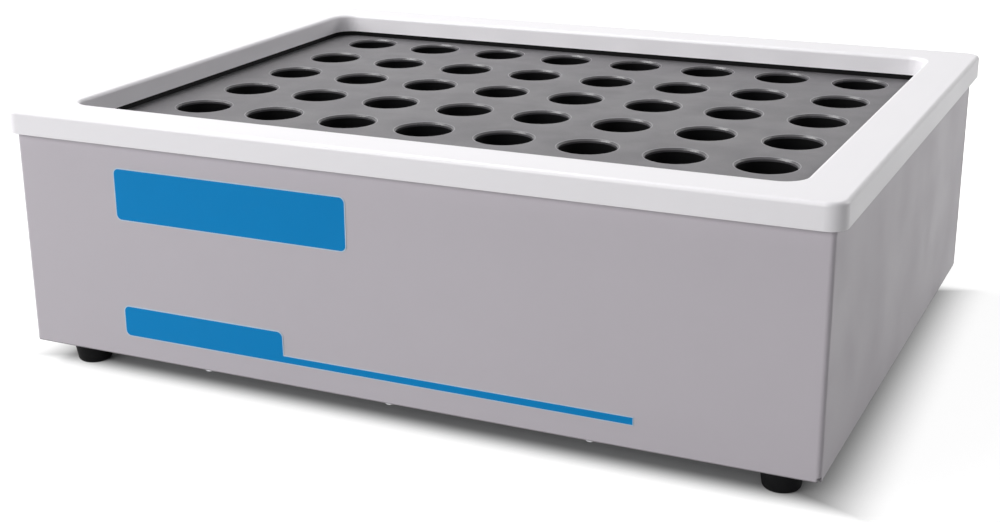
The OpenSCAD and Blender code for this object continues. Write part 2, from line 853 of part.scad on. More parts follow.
// Disc thermostat under the clamp plate, with its two tabs
module thermal_cutout() {
    cup_d = 16;
    cup_h = 8;
    flange_d = 24;
    flange_h = 1;
    tab_w = 4.8;
    tab_t = 0.8;
    tab_h = 7;
    tab_step = 4.5;
    root = 1;
    color(black) translate([0, cutout_y, clamp_z]) {
        translate([0, 0, -flange_h]) cylinder(h = flange_h, d = flange_d);
        translate([0, 0, -cup_h]) cylinder(h = cup_h, d = cup_d);
        for (s = [-1, 1]) translate([s * tab_step, 0, -cup_h - (tab_h - root) / 2])
            cube([tab_t, tab_w, tab_h + root], center = true);
    }
}

// ---------------------------------------------------------------------------
// Electronics
// ---------------------------------------------------------------------------

// Solid state relay with four screw terminals
module solid_state_relay() {
    well_w = 12;
    well_depth = 6;
    screw_h = 2;
    screw_d = 7;
    open_side = 0.02;
    color(black) translate([relay_x, relay_y, base_top + sink_h]) difference() {
        translate([0, 0, relay_h / 2]) cube([relay_w, relay_d, relay_h], center = true);
        for (sx = [-1, 1], sy = [-1, 1])
            translate([sx * (relay_w - well_w) / 2, sy * (relay_d - well_w) / 2, relay_h])
                difference() {
                    cube([well_w + open_side, well_w + open_side, 2 * well_depth], center = true);
                    translate([0, 0, -well_depth - past]) cylinder(h = screw_h + past, d = screw_d);
                }
    }
}

// Finned plate between the relay and the base
module relay_heatsink() {
    top_t = 4;
    fin_t = 2;
    fin_count = 9;
    fin_pitch = (sink_w - fin_t) / (fin_count - 1);
    color(steel) translate([relay_x - sink_w / 2, relay_y - sink_d / 2, base_top]) {
        translate([0, 0, sink_h - top_t]) cube([sink_w, sink_d, top_t]);
        for (i = [0 : fin_count - 1]) translate([i * fin_pitch, 0, 0]) cube([fin_t, sink_d, sink_h - top_t]);
    }
}

// Children at the four spacers of the board
module at_board_corners() {
    corner_in = 5;
    for (sx = [-1, 1], sy = [-1, 1])
        translate([board_x + sx * (board_w / 2 - corner_in), board_y + sy * (board_d / 2 - corner_in),
                   base_top]) children();
}

module control_board() {
    color(board_green) difference() {
        translate([board_x, board_y, base_top + board_rise + board_t / 2])
            cube([board_w, board_d, board_t], center = true);
        at_board_corners() cylinder(h = board_rise + board_t + past, d = m3 + 2 * shank_play);
    }
}

module board_spacers() {
    across = 6;
    stud_past = 1.2;
    color(brass) at_board_corners() {
        cylinder(h = board_rise, d = across / cos(30), $fn = 6);
        cylinder(h = board_rise + board_t + stud_past, d = m3);
    }
}

// Transformer, capacitors, relay, chips and plugs on the board
module board_parts() {
    top = base_top + board_rise + board_t;
    transformer = [26, 24, 16];
    relay = [20, 16, 15];
    chip = [14, 14, 1.6];
    driver = [18, 7, 2.4];
    capacitor_d = 13;
    capacitor_h = 16;
    capacitor_x = [-12, 4];
    capacitor_y = board_d / 4 - 1;
    edge = 10;
    color(black) translate([board_x, board_y, top]) {
        translate([-board_w / 2 + 1.5 * edge, board_d / 2 - transformer[1] - 1.2 * edge, 0])
            cube(transformer);
        for (x = capacitor_x)
            translate([x, capacitor_y, 0]) cylinder(h = capacitor_h, d = capacitor_d);
        translate([board_w / 2 - relay[0] - 2 * edge, board_d / 2 - relay[1] - 1.6 * edge, 0]) cube(relay);
        translate([-chip[0], -chip[1], 0]) cube(chip);
        translate([driver[0] / 2, -2 * driver[1], 0]) cube(driver);
        for (x = [-plug_size[0] - edge, 0])
            translate([x, -board_d / 2 + edge, 0]) cube(plug_size);
    }
}

// Five-way barrier strip
module terminal_block() {
    ways = 5;
    pocket = [terminal_pitch - 1.5, terminal_d / 2 - 4, 5];
    pocket_y = terminal_d / 2 - 2.5;
    screw_d = 5;
    screw_h = 2.5;
    color(black) translate([terminal_x, terminal_y, base_top]) {
        difference() {
            translate([0, 0, terminal_h / 2]) cube([terminal_w, terminal_d, terminal_h], center = true);
            for (i = [0 : ways - 1], s = [-1, 1])
                translate([(i - (ways - 1) / 2) * terminal_pitch, s * pocket_y, terminal_h])
                    cube([pocket[0], pocket[1], 2 * pocket[2]], center = true);
        }
        for (i = [0 : ways - 1], s = [-1, 1])
            translate([(i - (ways - 1) / 2) * terminal_pitch, s * pocket_y, terminal_h - pocket[2]])
                cylinder(h = screw_h, d = screw_d);
    }
}

// Earth stud with its nut, screwed into the base plate
module earth_stud() {
    stud_h = 14;
    nut_h = 4;
    nut_across = 8;
    color(brass) translate([stud_x, stud_y, base_z]) {
        cylinder(h = plate_t + stud_h, d = m5);
        translate([0, 0, plate_t]) cylinder(h = nut_h, d = nut_across / cos(30), $fn = 6);
    }
}

// ---------------------------------------------------------------------------
// Rear connections
// ---------------------------------------------------------------------------

// Inlet moulding with a plug socket on one side and a fuse drawer pocket on the other
module mains_inlet() {
    pocket_w = drawer_w + 2 * drawer_play;
    pocket_h = drawer_h + 2 * drawer_play;
    wall_back = 1.5;
    corner = 3;
    joint = inlet_flange_t / 4;
    color(black) translate([inlet_x, half_d, plug_z]) difference() {
        union() {
            translate([0, inlet_flange_t / 2, 0]) rotate([90, 0, 0])
                linear_extrude(inlet_flange_t, center = true)
                round_plan(inlet_w, inlet_h, corner);
            translate([-inlet_body_w / 2, -inlet_body_l, -inlet_body_h / 2])
                cube([inlet_body_w, inlet_body_l + joint, inlet_body_h]);
        }
        translate([socket_off, inlet_flange_t - socket_depth / 2 + past / 2, 0])
            cube([socket_w, socket_depth + past, socket_h], center = true);
        translate([drawer_off, (inlet_flange_t - inlet_body_l + wall_back) / 2 + past / 2, 0])
            cube([pocket_w, inlet_flange_t + inlet_body_l - wall_back + past, pocket_h], center = true);
        at_blades() translate([0, -inlet_body_l - past, 0]) rotate([-90, 0, 0]) linear_extrude(inlet_body_l)
            square([blade_t, blade_w], center = true);
    }
}

// Children at the three blades, measured from the middle of the inlet
module at_blades() {
    for (s = [-1, 1]) translate([socket_off + s * live_step, 0, -earth_rise / 2]) children();
    translate([socket_off, 0, earth_rise]) children();
}

// Three blades that run through the moulding to the tabs behind it
module inlet_pins() {
    reach = inlet_body_l + tab_l;
    color(brass) translate([inlet_x, half_d, plug_z]) at_blades() translate([0, -reach, 0])
        rotate([-90, 0, 0])
            linear_extrude(reach + inlet_flange_t - socket_depth + blade_l)
                square([blade_t, blade_w], center = true);
}

// Pull-out fuse drawer with a finger lip
module fuse_drawer() {
    slot_l = fuse_l + 0.6;
    fuse_slot_d = fuse_d + 0.3;
    side_slot_h = 0.7 * fuse_d;
    spine = 2;
    lip_x = 0.8;
    lip_z = 1;
    nail = [8, 1.6, 4];
    color(black) translate([inlet_x + drawer_off, half_d + inlet_flange_t, plug_z]) difference() {
        union() {
            translate([-drawer_w / 2, -drawer_l, -drawer_h / 2])
                cube([drawer_w, drawer_l + drawer_face_t / 2, drawer_h]);
            translate([-drawer_w / 2 - lip_x, 0, -drawer_h / 2 - lip_z])
                cube([drawer_w + 2 * lip_x, drawer_face_t, drawer_h + 2 * lip_z]);
        }
        for (s = [-1, 1])
            translate([s * drawer_w / 4, -drawer_l + (drawer_l - slot_l) / 2, 0]) rotate([-90, 0, 0])
                cylinder(h = slot_l, d = fuse_slot_d);
        for (s = [-1, 1])
            translate([s * (drawer_w / 4 + spine / 2), -drawer_l / 2, 0])
                cube([drawer_w / 2 - spine, slot_l, side_slot_h], center = true);
        translate([0, drawer_face_t, drawer_h / 2 + lip_z]) cube(nail, center = true);
    }
}

// Two glass fuses in the drawer
module fuses() {
    color([0.85, 0.85, 0.80]) translate([inlet_x + drawer_off, half_d + inlet_flange_t, plug_z])
        for (s = [-1, 1])
            translate([s * drawer_w / 4, -(drawer_l + fuse_l) / 2, 0]) rotate([-90, 0, 0])
                cylinder(h = fuse_l, d = fuse_d);
}

// Snap-in frame of the power switch
module switch_frame() {
    hole_w = rocker_w + 2 * rocker_side_play;
    hole_h = 2 * rocker_well;
    hole_l = 10;
    tab_w = 4.8;
    tab_t = 0.8;
    tab_root = 0.5;
    corner = 2;
    joint = switch_flange_t / 3;
    color(black) translate([switch_x, half_d, plug_z]) difference() {
        union() {
            translate([0, switch_flange_t / 2, 0]) rotate([90, 0, 0])
                linear_extrude(switch_flange_t, center = true) round_plan(switch_w, switch_h, corner);
            translate([-switch_body_w / 2, -switch_body_l, -switch_body_h / 2])
                cube([switch_body_w, switch_body_l + joint, switch_body_h]);
            for (sx = [-1, 1], sz = [-1, 1])
                translate([sx * switch_tab_x, -switch_body_l - tab_l / 2, sz * switch_tab_z])
                    cube([tab_t, tab_l + 2 * tab_root, tab_w], center = true);
        }
        translate([0, switch_flange_t - hole_l / 2 + past / 2, 0])
            cube([hole_w, hole_l + past, hole_h], center = true);
        translate([0, pivot_y - half_d, 0]) rotate([0, 90, 0])
            cylinder(h = rocker_w + 2 * (pivot_l + rocker_side_play), r = pivot_r + pivot_play,
                     center = true);
    }
}

// Rocker, drawn in its off position: its lower half lies flush and its upper half stands out
module power_rocker() {
    dip = 1.6;
    back = 2.5;
    heel = 6;
    keel = 5;
    rise = dip + rocker_half * tan(rocker_swing / 2);
    color(black) translate([switch_x, pivot_y, plug_z]) rotate([-rocker_swing / 2, 0, 0]) {
        rotate([90, 0, 90]) linear_extrude(rocker_w, center = true)
            polygon([[-back, -heel], [rise, -rocker_half], [dip, 0], [rise, rocker_half], [-back, heel],
                     [-keel, 0]]);
        rotate([0, 90, 0]) cylinder(h = rocker_w + 2 * pivot_l, r = pivot_r, center = true);
    }
}

// Outline of the port's shell: a rectangle with slanted ends
module port_plan(grow) {
    w = port_shell_w / 2 + grow;
    h = port_shell_h / 2 + grow;
    slant = 1.5;
    polygon([[-w + slant, -h], [w - slant, -h], [w, h], [-w, h]]);
}

// Nine-way port whose flange lies behind the panel
module controller_port() {
    flange_t = 1;
    cavity = 5.5;
    color(steel) translate([port_x, rear_in, plug_z]) rotate([90, 0, 180]) difference() {
        union() {
            translate([0, 0, -flange_t]) linear_extrude(flange_t) square([port_w, port_h], center = true);
            translate([0, 0, -port_body_l]) linear_extrude(port_body_l) port_plan(0);
            linear_extrude(sheet + port_out) port_plan(0);
        }
        translate([0, 0, sheet + port_out - cavity]) linear_extrude(cavity + past) port_plan(-port_shell_t);
        for (s = [-1, 1]) translate([s * port_screw_x, 0, -flange_t - past])
            cylinder(h = flange_t + 2 * past, d = m3 + 2 * thread_play);
        at_port_pins() translate([0, 0, -port_body_l - past])
            cylinder(h = port_body_l + past, d = port_pin_d, $fn = 24);
    }
}

// Children at the nine pins, in two rows
module at_port_pins() {
    step = 2.77;
    gap = 1.42;
    for (i = [0 : 4]) translate([(i - 2) * step, gap, 0]) children();
    for (i = [0 : 3]) translate([(i - 1.5) * step, -gap, 0]) children();
}

// Nine pins that run through the port to their solder tails
module port_pins() {
    tail = 3;
    set_back = 1;
    color(brass) translate([port_x, rear_in, plug_z]) rotate([90, 0, 180]) at_port_pins()
        translate([0, 0, -port_body_l - tail])
            cylinder(h = port_body_l + tail + sheet + port_out - set_back, d = port_pin_d, $fn = 24);
}

// Hexagon jackscrews that hold the port to the panel
module port_screws() {
    across = 5;
    socket_d = 2.6;
    socket_floor = 1;
    shank_l = sheet + 3;
    color(steel) translate([port_x, half_d, plug_z]) rotate([90, 0, 180])
        for (s = [-1, 1]) translate([s * port_screw_x, 0, 0]) difference() {
            union() {
                cylinder(h = port_out, d = across / cos(30), $fn = 6);
                translate([0, 0, -shank_l]) cylinder(h = shank_l + socket_floor / 2, d = m3);
            }
            translate([0, 0, socket_floor]) cylinder(h = port_out, d = socket_d, $fn = 24);
        }
}

// ---------------------------------------------------------------------------
// Label plates, left bare
// ---------------------------------------------------------------------------

// Children turned so that their plan lies on the front of the case
module on_front() {
    translate([0, -half_d, 0]) rotate([90, 0, 0]) linear_extrude(label_t) children();
}

module upper_label() {
    corner = 3.5;
    color(blue) on_front()
        translate([-half_w + label_left + upper_w / 2, rim_z - upper_drop - upper_h / 2])
            round_plan(upper_w, upper_h, corner);
}

// Plate with round top corners and a stripe that runs on from its foot
module lower_label() {
    corner = 3.5;
    color(blue) on_front() translate([-half_w + label_left, case_z + lower_rise]) {
        translate([lower_w / 2, lower_h / 2]) round_plan(lower_w, lower_h, corner);
        square([lower_w, lower_h - corner]);
        square([stripe_end - label_left, stripe_h]);
    }
}

// ---------------------------------------------------------------------------
// Leads
// ---------------------------------------------------------------------------

// Leads from the inlet and the switch to the terminal block
module mains_leads() {
    tab_y = half_d - inlet_body_l - tab_l;
    live_z = plug_z - earth_rise / 2;
    earth_z = plug_z + earth_rise;
    first = inlet_x + socket_off - live_step;
    second = inlet_x + socket_off + live_step;
    middle = inlet_x + socket_off;
    strip_y = terminal_y + terminal_d / 2;
    strip_z = base_top + terminal_h - 9;
    lead_gap = 0.5;
    switch_y = half_d - switch_body_l - tab_l - lead_gap;
    bend = 12;
    color([0.35, 0.20, 0.15]) {
        lead([[first, tab_y, live_z], [first, tab_y - bend, live_z], [terminal_x + 20, strip_y + 8, strip_z],
              [terminal_x + 20, strip_y, strip_z]]);
        lead([[middle, tab_y, earth_z], [middle, tab_y - 6, earth_z],
              [stud_x - 9, stud_y + 14, base_top + 13],
              [stud_x, stud_y + m5 / 2 + 0.1 + lead_d / 2, base_top + 12]]);
        lead([[second, tab_y, live_z], [second, tab_y - 5, live_z], [second - 4, tab_y - 10, live_z - 6],
              [terminal_x + 10, strip_y + 16, strip_z - 4], [terminal_x + 10, strip_y, strip_z - 4]]);
        for (s = [-1, 1])
            lead([[switch_x + s * switch_tab_x, switch_y, plug_z - switch_tab_z],
                  [switch_x + s * switch_tab_x, switch_y - 8, plug_z - switch_tab_z],
                  [terminal_x - 15 + s * 5, strip_y + 8, strip_z],
                  [terminal_x - 15 + s * 5, strip_y, strip_z]]);
    }
}

// Leads from the terminal block and the relay up to the heater mats
module heater_leads() {
    relay_top = base_top + sink_h + relay_h;
    color([0.85, 0.85, 0.85]) for (s = [-1, 1])
        lead([[s * lead_x, lead_y, mat_z], [s * lead_x, lead_y, tray_z - 8],
              [relay_x + s * 20, relay_y + relay_d / 2 + 12, relay_top - relay_lead_drop],
              [relay_x + s * 20, relay_y + relay_d / 2, relay_top - relay_lead_drop]]);
}

// Lead from the probe to the control board
module sensor_lead() {
    probe_end = clamp_z - probe_collar_h - probe_tail;
    plug_top = base_top + board_rise + board_t + plug_size[2];
    plug_x = board_x + plug_size[0] / 2;
    plug_y = board_y - board_d / 2 + 10 + plug_size[1] / 2;
    color(black) lead([[0, sensor_y, probe_end], [0, sensor_y, tray_z - 10], [plug_x, plug_y, plug_top + 6],
                       [plug_x, plug_y, plug_top]]);
}

top_rim();
rim_seal();
heating_block();
body_shell();
top_frame();
rear_panel();
base_plate();
block_tray();
foot_front_left();
foot_front_right();
foot_rear_left();
foot_rear_right();
foot_screws();
foot_nuts();
rim_screws();
rear_panel_screws();
base_screws();
tray_screws();
insulation_front();
insulation_rear();
insulation_left();
insulation_right();
insulation_under();
heater_mat_left();
heater_mat_right();
heater_clamp_plate();
clamp_screws();
block_standoffs();
standoff_screws();
block_sensor();
thermal_cutout();
solid_state_relay();
relay_heatsink();
control_board();
board_spacers();
board_parts();
terminal_block();
earth_stud();
mains_inlet();
inlet_pins();
fuse_drawer();
fuses();
switch_frame();
power_rocker();
controller_port();
port_pins();
port_screws();
upper_label();
lower_label();
mains_leads();
heater_leads();
sensor_lead();
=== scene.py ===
"""Looks of the block digester: finishes, modelled pieces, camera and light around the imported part."""

import json
import math

import bmesh
import bpy
from mathutils import Matrix, Vector


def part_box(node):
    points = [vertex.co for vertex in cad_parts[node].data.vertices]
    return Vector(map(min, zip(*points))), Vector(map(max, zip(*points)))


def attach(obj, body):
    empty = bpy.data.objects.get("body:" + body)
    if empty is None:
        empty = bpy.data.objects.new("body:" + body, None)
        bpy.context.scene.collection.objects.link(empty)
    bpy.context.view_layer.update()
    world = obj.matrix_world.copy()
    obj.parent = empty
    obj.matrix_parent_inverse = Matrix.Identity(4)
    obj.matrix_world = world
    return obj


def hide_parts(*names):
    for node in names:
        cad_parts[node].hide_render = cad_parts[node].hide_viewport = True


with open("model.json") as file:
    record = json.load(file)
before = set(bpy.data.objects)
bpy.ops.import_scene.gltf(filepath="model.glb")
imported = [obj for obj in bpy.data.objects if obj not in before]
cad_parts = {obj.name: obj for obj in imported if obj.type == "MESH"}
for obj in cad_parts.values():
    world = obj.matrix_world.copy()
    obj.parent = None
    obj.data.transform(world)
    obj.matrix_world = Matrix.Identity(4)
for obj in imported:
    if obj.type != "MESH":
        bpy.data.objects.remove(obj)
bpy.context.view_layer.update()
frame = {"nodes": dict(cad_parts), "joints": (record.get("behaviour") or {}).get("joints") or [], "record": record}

MM = 0.001

# ---------------------------------------------------------------------------
# Camera: the photograph's own viewpoint
# ---------------------------------------------------------------------------

# Fitted to the photograph's edges and wells: turns in degrees, lens in millimetres
CAMERA_PLACE = (371.5 * MM, -839.9 * MM, 347.4 * MM)
CAMERA_TURN = 25.724
CAMERA_DIP = 18.663
CAMERA_ROLL = -0.670
CAMERA_LENS = 58.70
CAMERA_SHIFT_X = 0.0293
CAMERA_SHIFT_Y = 0.0039


def make_camera():
    """The camera, turned about the upright, dipped, and rolled about its own view."""
    camera = bpy.data.objects.new("camera", bpy.data.cameras.new("camera"))
    bpy.context.scene.collection.objects.link(camera)
    camera.data.lens = CAMERA_LENS
    camera.data.shift_x = CAMERA_SHIFT_X
    camera.data.shift_y = CAMERA_SHIFT_Y
    turn = Matrix.Rotation(math.radians(CAMERA_TURN), 4, "Z")
    dip = Matrix.Rotation(math.radians(90 - CAMERA_DIP), 4, "X")
    roll = Matrix.Rotation(math.radians(CAMERA_ROLL), 4, "Z")
    camera.matrix_world = Matrix.Translation(CAMERA_PLACE) @ turn @ dip @ roll
    bpy.context.scene.camera = camera


make_camera()

# ---------------------------------------------------------------------------
# Sizes read from the frame
# ---------------------------------------------------------------------------

shell_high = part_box("body_shell")[1]
block_low, block_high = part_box("heating_block")

mounts = {mount["name"]: mount for mount in frame["record"]["mounts"]}
joints = {joint["name"]: joint for joint in frame["joints"]}
front_left_well = mounts["tube_well_front_left"]
rocker_pivot = joints["power_rocker_pivot"]

# The wells are centred on the block, so their pitch follows from the place of the front left one
COLUMNS = 8
ROWS = 6
well_r = front_left_well["dims"]["r_mm"] * MM
well_depth = front_left_well["dims"]["length_mm"] * MM
pitch_x = -2 * front_left_well["pos_m"][0] / (COLUMNS - 1)
pitch_y = -2 * front_left_well["pos_m"][1] / (ROWS - 1)

# ---------------------------------------------------------------------------
# Shader helper and shared effects
# ---------------------------------------------------------------------------


class Shop:
    """Adds shader nodes to one tree and wires them by socket name."""

    def __init__(self, tree):
        self.tree = tree

    def plug(self, socket, value):
        if isinstance(value, bpy.types.NodeSocket):
            self.tree.links.new(value, socket)
        else:
            socket.default_value = value

    def node(self, kind, inputs=None, **settings):
        made = self.tree.nodes.new("ShaderNode" + kind)
        for name, value in settings.items():
            setattr(made, name, value)
        for name, value in (inputs or {}).items():
            self.plug(made.inputs[name], value)
        return made

    def math(self, operation, *values, clamp=False):
        made = self.node("Math", operation=operation, use_clamp=clamp)
        for place, value in enumerate(values):
            self.plug(made.inputs[place], value)
        return made.outputs[0]

    def mix(self, share, first, second):
        made = self.node("Mix", data_type="RGBA")
        for label, value in (("Factor_Float", share), ("A_Color", first), ("B_Color", second)):
            self.plug(next(s for s in made.inputs if s.identifier == label), value)
        return next(s for s in made.outputs if s.identifier == "Result_Color")

    def ramp(self, value, low, high, start=0.0, end=1.0):
        inputs = {"Value": value, "From Min": low, "From Max": high, "To Min": start, "To Max": end}
        return self.node("MapRange", inputs, interpolation_type="SMOOTHSTEP").outputs["Result"]

    def noise(self, place, scale, detail=3.0, roughness=0.55):
        inputs = {"Vector": place, "Scale": scale, "Detail": detail, "Roughness": roughness}
        return self.node("TexNoise", inputs).outputs["Fac"]

    def stretched(self, place, scales, turn=0.0):
        inputs = {"Vector": place, "Scale": scales, "Rotation": (0.0, 0.0, turn)}
        return self.node("Mapping", inputs).outputs[0]

    def effect(self, group, **inputs):
        made = self.node("Group", node_tree=group)
        for name, value in inputs.items():
            self.plug(made.inputs[name], value)
        return made.outputs


def start_effect(name, inputs, outputs):
    """An effect with named sockets: its tree, its helper, its input sockets and its output sockets."""
    tree = bpy.data.node_groups.new(name, "ShaderNodeTree")
    for label, kind, value in inputs:
        socket = tree.interface.new_socket(label, in_out="INPUT", socket_type="NodeSocket" + kind)
        socket.default_value = value
    for label, kind in outputs:
        tree.interface.new_socket(label, in_out="OUTPUT", socket_type="NodeSocket" + kind)
    source = tree.nodes.new("NodeGroupInput")
    sink = tree.nodes.new("NodeGroupOutput")
    return tree, Shop(tree), source.outputs, sink.inputs


ORIGIN = (0.0, 0.0, 0.0)
GREY = (0.5, 0.5, 0.5, 1.0)
WHITE = (1.0, 1.0, 1.0, 1.0)
DUST = (0.62, 0.60, 0.57, 1.0)

# Weight of the small clouds of tone beside the broad ones
SMALL_CLOUDS = 0.35


def make_tone_drift():
    """Slow changes of tone over a surface, in two sizes of cloud."""
    tree, shop, given, result = start_effect(
        "tone_drift",
        [("Place", "Vector", ORIGIN), ("Color", "Color", GREY), ("Scale", "Float", 8.0),
         ("Amount", "Float", 0.05)],
        [("Color", "Color")])
    broad = shop.noise(given["Place"], given["Scale"])
    small = shop.noise(given["Place"], shop.math("MULTIPLY", given["Scale"], 7.0), detail=2.0)
    both = shop.math("ADD", broad, shop.math("MULTIPLY", small, SMALL_CLOUDS))
    middle = 0.5 * (1 + SMALL_CLOUDS)
    swing = shop.math("MULTIPLY", shop.math("SUBTRACT", both, middle), given["Amount"])
    value = shop.math("ADD", shop.math("MULTIPLY", swing, 2.0), 1.0)
    shaded = shop.node("HueSaturation", {"Value": value, "Color": given["Color"]})
    shop.plug(result["Color"], shaded.outputs["Color"])
    return tree


def make_edge_wear_and_shade():
    """Edges turned to another colour, in patches unless Evenness is 1: wear on most finishes, painted shade along
    the case's edges and bends.
    """
    tree, shop, given, result = start_effect(
        "edge_wear_and_shade",
        [("Place", "Vector", ORIGIN), ("Color", "Color", GREY), ("Worn", "Color", GREY),
         ("Width", "Float", 0.5 * MM), ("Amount", "Float", 0.3), ("Evenness", "Float", 0.0)],
        [("Color", "Color"), ("Mask", "Float")])
    eased = shop.node("Bevel", {"Radius": given["Width"]}, samples=6).outputs[0]
    flat = shop.node("NewGeometry").outputs["Normal"]
    level = shop.node("VectorMath", {0: eased, 1: flat}, operation="DOT_PRODUCT").outputs["Value"]
    edge = shop.ramp(shop.math("SUBTRACT", 1.0, level), 0.02, 0.22)
    patchy = shop.ramp(shop.noise(given["Place"], 140.0), 0.38, 0.66)
    spread = shop.math("MAXIMUM", patchy, given["Evenness"])
    # The mask is wear on most finishes, and painted shade along the case's edges and bends
    mask = shop.math("MULTIPLY", shop.math("MULTIPLY", edge, spread), given["Amount"], clamp=True)
    shop.plug(result["Color"], shop.mix(mask, given["Color"], given["Worn"]))
    shop.plug(result["Mask"], mask)
    return tree


def make_settled_dust():
    """A thin film of dust on faces that look up."""
    tree, shop, given, result = start_effect(
        "settled_dust",
        [("Place", "Vector", ORIGIN), ("Color", "Color", GREY), ("Amount", "Float", 0.1)],
        [("Color", "Color"), ("Mask", "Float")])
    facing = shop.node("TexCoord").outputs["Normal"]
    height = shop.node("SeparateXYZ", {0: facing}).outputs["Z"]
    upward = shop.ramp(height, 0.55, 0.98)
    patchy = shop.ramp(shop.noise(given["Place"], 26.0, detail=6.0, roughness=0.7), 0.30, 0.78)
    specks = shop.ramp(shop.noise(given["Place"], 1500.0, detail=1.0), 0.60, 0.74)
    film = shop.math("ADD", shop.math("MULTIPLY", patchy, 0.7), shop.math("MULTIPLY", specks, 0.5))
    mask = shop.math("MULTIPLY", shop.math("MULTIPLY", film, upward), given["Amount"], clamp=True)
    shop.plug(result["Color"], shop.mix(mask, given["Color"], DUST))
    shop.plug(result["Mask"], mask)
    return tree


def make_fine_grain():
    """Height of a fine grain: broad ripples with a finer grit on them."""
    tree, shop, given, result = start_effect(
        "fine_grain",
        [("Place", "Vector", ORIGIN), ("Scale", "Float", 600.0), ("Grit", "Float", 0.4)],
        [("Height", "Float")])
    ripple = shop.noise(given["Place"], given["Scale"], detail=1.0)
    grit = shop.noise(given["Place"], shop.math("MULTIPLY", given["Scale"], 5.0), detail=2.0)
    height = shop.math("ADD", ripple, shop.math("MULTIPLY", grit, given["Grit"]))
    shop.plug(result["Height"], height)
    return tree


def make_fine_scratches():
    """Mask of thin, faint scratches in two directions."""
    tree, shop, given, result = start_effect(
        "fine_scratches",
        [("Place", "Vector", ORIGIN), ("Amount", "Float", 0.2)],
        [("Mask", "Float")])
    along = shop.noise(shop.stretched(given["Place"], (25.0, 1400.0, 1400.0), 0.5), 1.0, detail=1.0)
    across = shop.noise(shop.stretched(given["Place"], (1700.0, 18.0, 1700.0), -0.3), 1.0, detail=1.0)
    lines = shop.math("MAXIMUM", shop.ramp(along, 0.70, 0.76), shop.ramp(across, 0.71, 0.77))
    sparse = shop.ramp(shop.noise(given["Place"], 30.0), 0.45, 0.70)
    mask = shop.math("MULTIPLY", shop.math("MULTIPLY", lines, sparse), given["Amount"], clamp=True)
    shop.plug(result["Mask"], mask)
    return tree


tone_drift = make_tone_drift()
edge_wear_and_shade = make_edge_wear_and_shade()
settled_dust = make_settled_dust()
fine_grain = make_fine_grain()
fine_scratches = make_fine_scratches()

# ---------------------------------------------------------------------------
# Materials
# ---------------------------------------------------------------------------


def start_material(name, **constants):
    """A material with a bare Principled shader, whose named sockets are set to constants."""
    material = bpy.data.materials.new(name)
    material.use_nodes = True
    tree = material.node_tree
    tree.nodes.clear()
    shop = Shop(tree)
    skin = shop.node("BsdfPrincipled")
    for label, value in constants.items():
        skin.inputs[label.replace("_", " ")].default_value = value
    output = shop.node("OutputMaterial")
    tree.links.new(skin.outputs[0], output.inputs["Surface"])
    place = shop.node("TexCoord").outputs["Object"]
    return material, shop, skin, place


# Swing of the roughness, what dust and scratches add to it, and a scratch's depth beside the grain's
ROUGH_SWING = 0.12
DUST_DULLS = 0.5
SCRATCH_DULLS = 0.4
SCRATCH_DEPTH = 2.0


def finish_surface(shop, skin, place, color, roughness, drift=0.05, drift_scale=8.0, wear_and_shade_color=None, wear_and_shade=0.0,
                   wear_and_shade_width=0.5 * MM, even=0.0, dust=0.0, scratches=0.0, grain=600.0, grit=0.4,
                   depth=0.01 * MM):
    """Drifting tone, an edge tint (wear, and on the case painted shade), dust, scratches and grain, wired to one
    Principled shader.
    """
    toned = shop.effect(tone_drift, Place=place, Color=color, Scale=drift_scale, Amount=drift)["Color"]
    smooth_end, rough_end = (1 - ROUGH_SWING) * roughness, (1 + ROUGH_SWING) * roughness
    rough = shop.ramp(shop.noise(place, drift_scale * 3), 0.3, 0.7, smooth_end, rough_end)
    # Edge tint: wear on most finishes, painted shade along the case's bends and edges
    if wear_and_shade:
        worn_and_shaded = shop.effect(edge_wear_and_shade, Place=place, Color=toned, Worn=wear_and_shade_color, Width=wear_and_shade_width, Amount=wear_and_shade,
                             Evenness=even)
        toned = worn_and_shaded["Color"]
    if dust:
        dusty = shop.effect(settled_dust, Place=place, Color=toned, Amount=dust)
        toned = dusty["Color"]
        rough = shop.math("ADD", rough, shop.math("MULTIPLY", dusty["Mask"], DUST_DULLS), clamp=True)
    height = shop.effect(fine_grain, Place=place, Scale=grain, Grit=grit)["Height"]
    if scratches:
        scored = shop.effect(fine_scratches, Place=place, Amount=scratches)["Mask"]
        rough = shop.math("ADD", rough, shop.math("MULTIPLY", scored, SCRATCH_DULLS), clamp=True)
        height = shop.math("SUBTRACT", height, shop.math("MULTIPLY", scored, SCRATCH_DEPTH))
    shop.plug(skin.inputs["Base Color"], toned)
    shop.plug(skin.inputs["Roughness"], rough)
    bump = shop.node("Bump", {"Height": height, "Distance": depth, "Strength": 1.0})
    shop.plug(skin.inputs["Normal"], bump.outputs["Normal"])


def white_rim():
    """White moulding, glossy enough for a soft highlight along its rounded edges."""
    material, shop, skin, place = start_material("white_rim", Coat_Roughness=0.2, Coat_Weight=0.15)
    finish_surface(shop, skin, place, (0.940, 0.922, 0.952, 1.0), 0.36, drift=0.012, drift_scale=5.0,
                   dust=0.03, scratches=0.10, grain=420.0, grit=0.2, depth=0.012 * MM)
    return material


def case_enamel():
    """Pale grey baked enamel with a faint orange peel, and painted shade: a dark line along its edges and bends.
    """
    material, shop, skin, place = start_material("case_enamel", Specular_IOR_Level=0.3)
    # The dark edge colour here is painted shade along the bends and edges, not wear
    finish_surface(shop, skin, place, (0.575, 0.540, 0.583, 1.0), 0.42, drift=0.025, drift_scale=6.0,
                   wear_and_shade_color=(0.06, 0.055, 0.06, 1.0), wear_and_shade=1.0, wear_and_shade_width=1.5 * MM, even=1.0, dust=0.04,
                   scratches=0.08, grain=700.0, grit=0.35, depth=0.018 * MM)
    return material


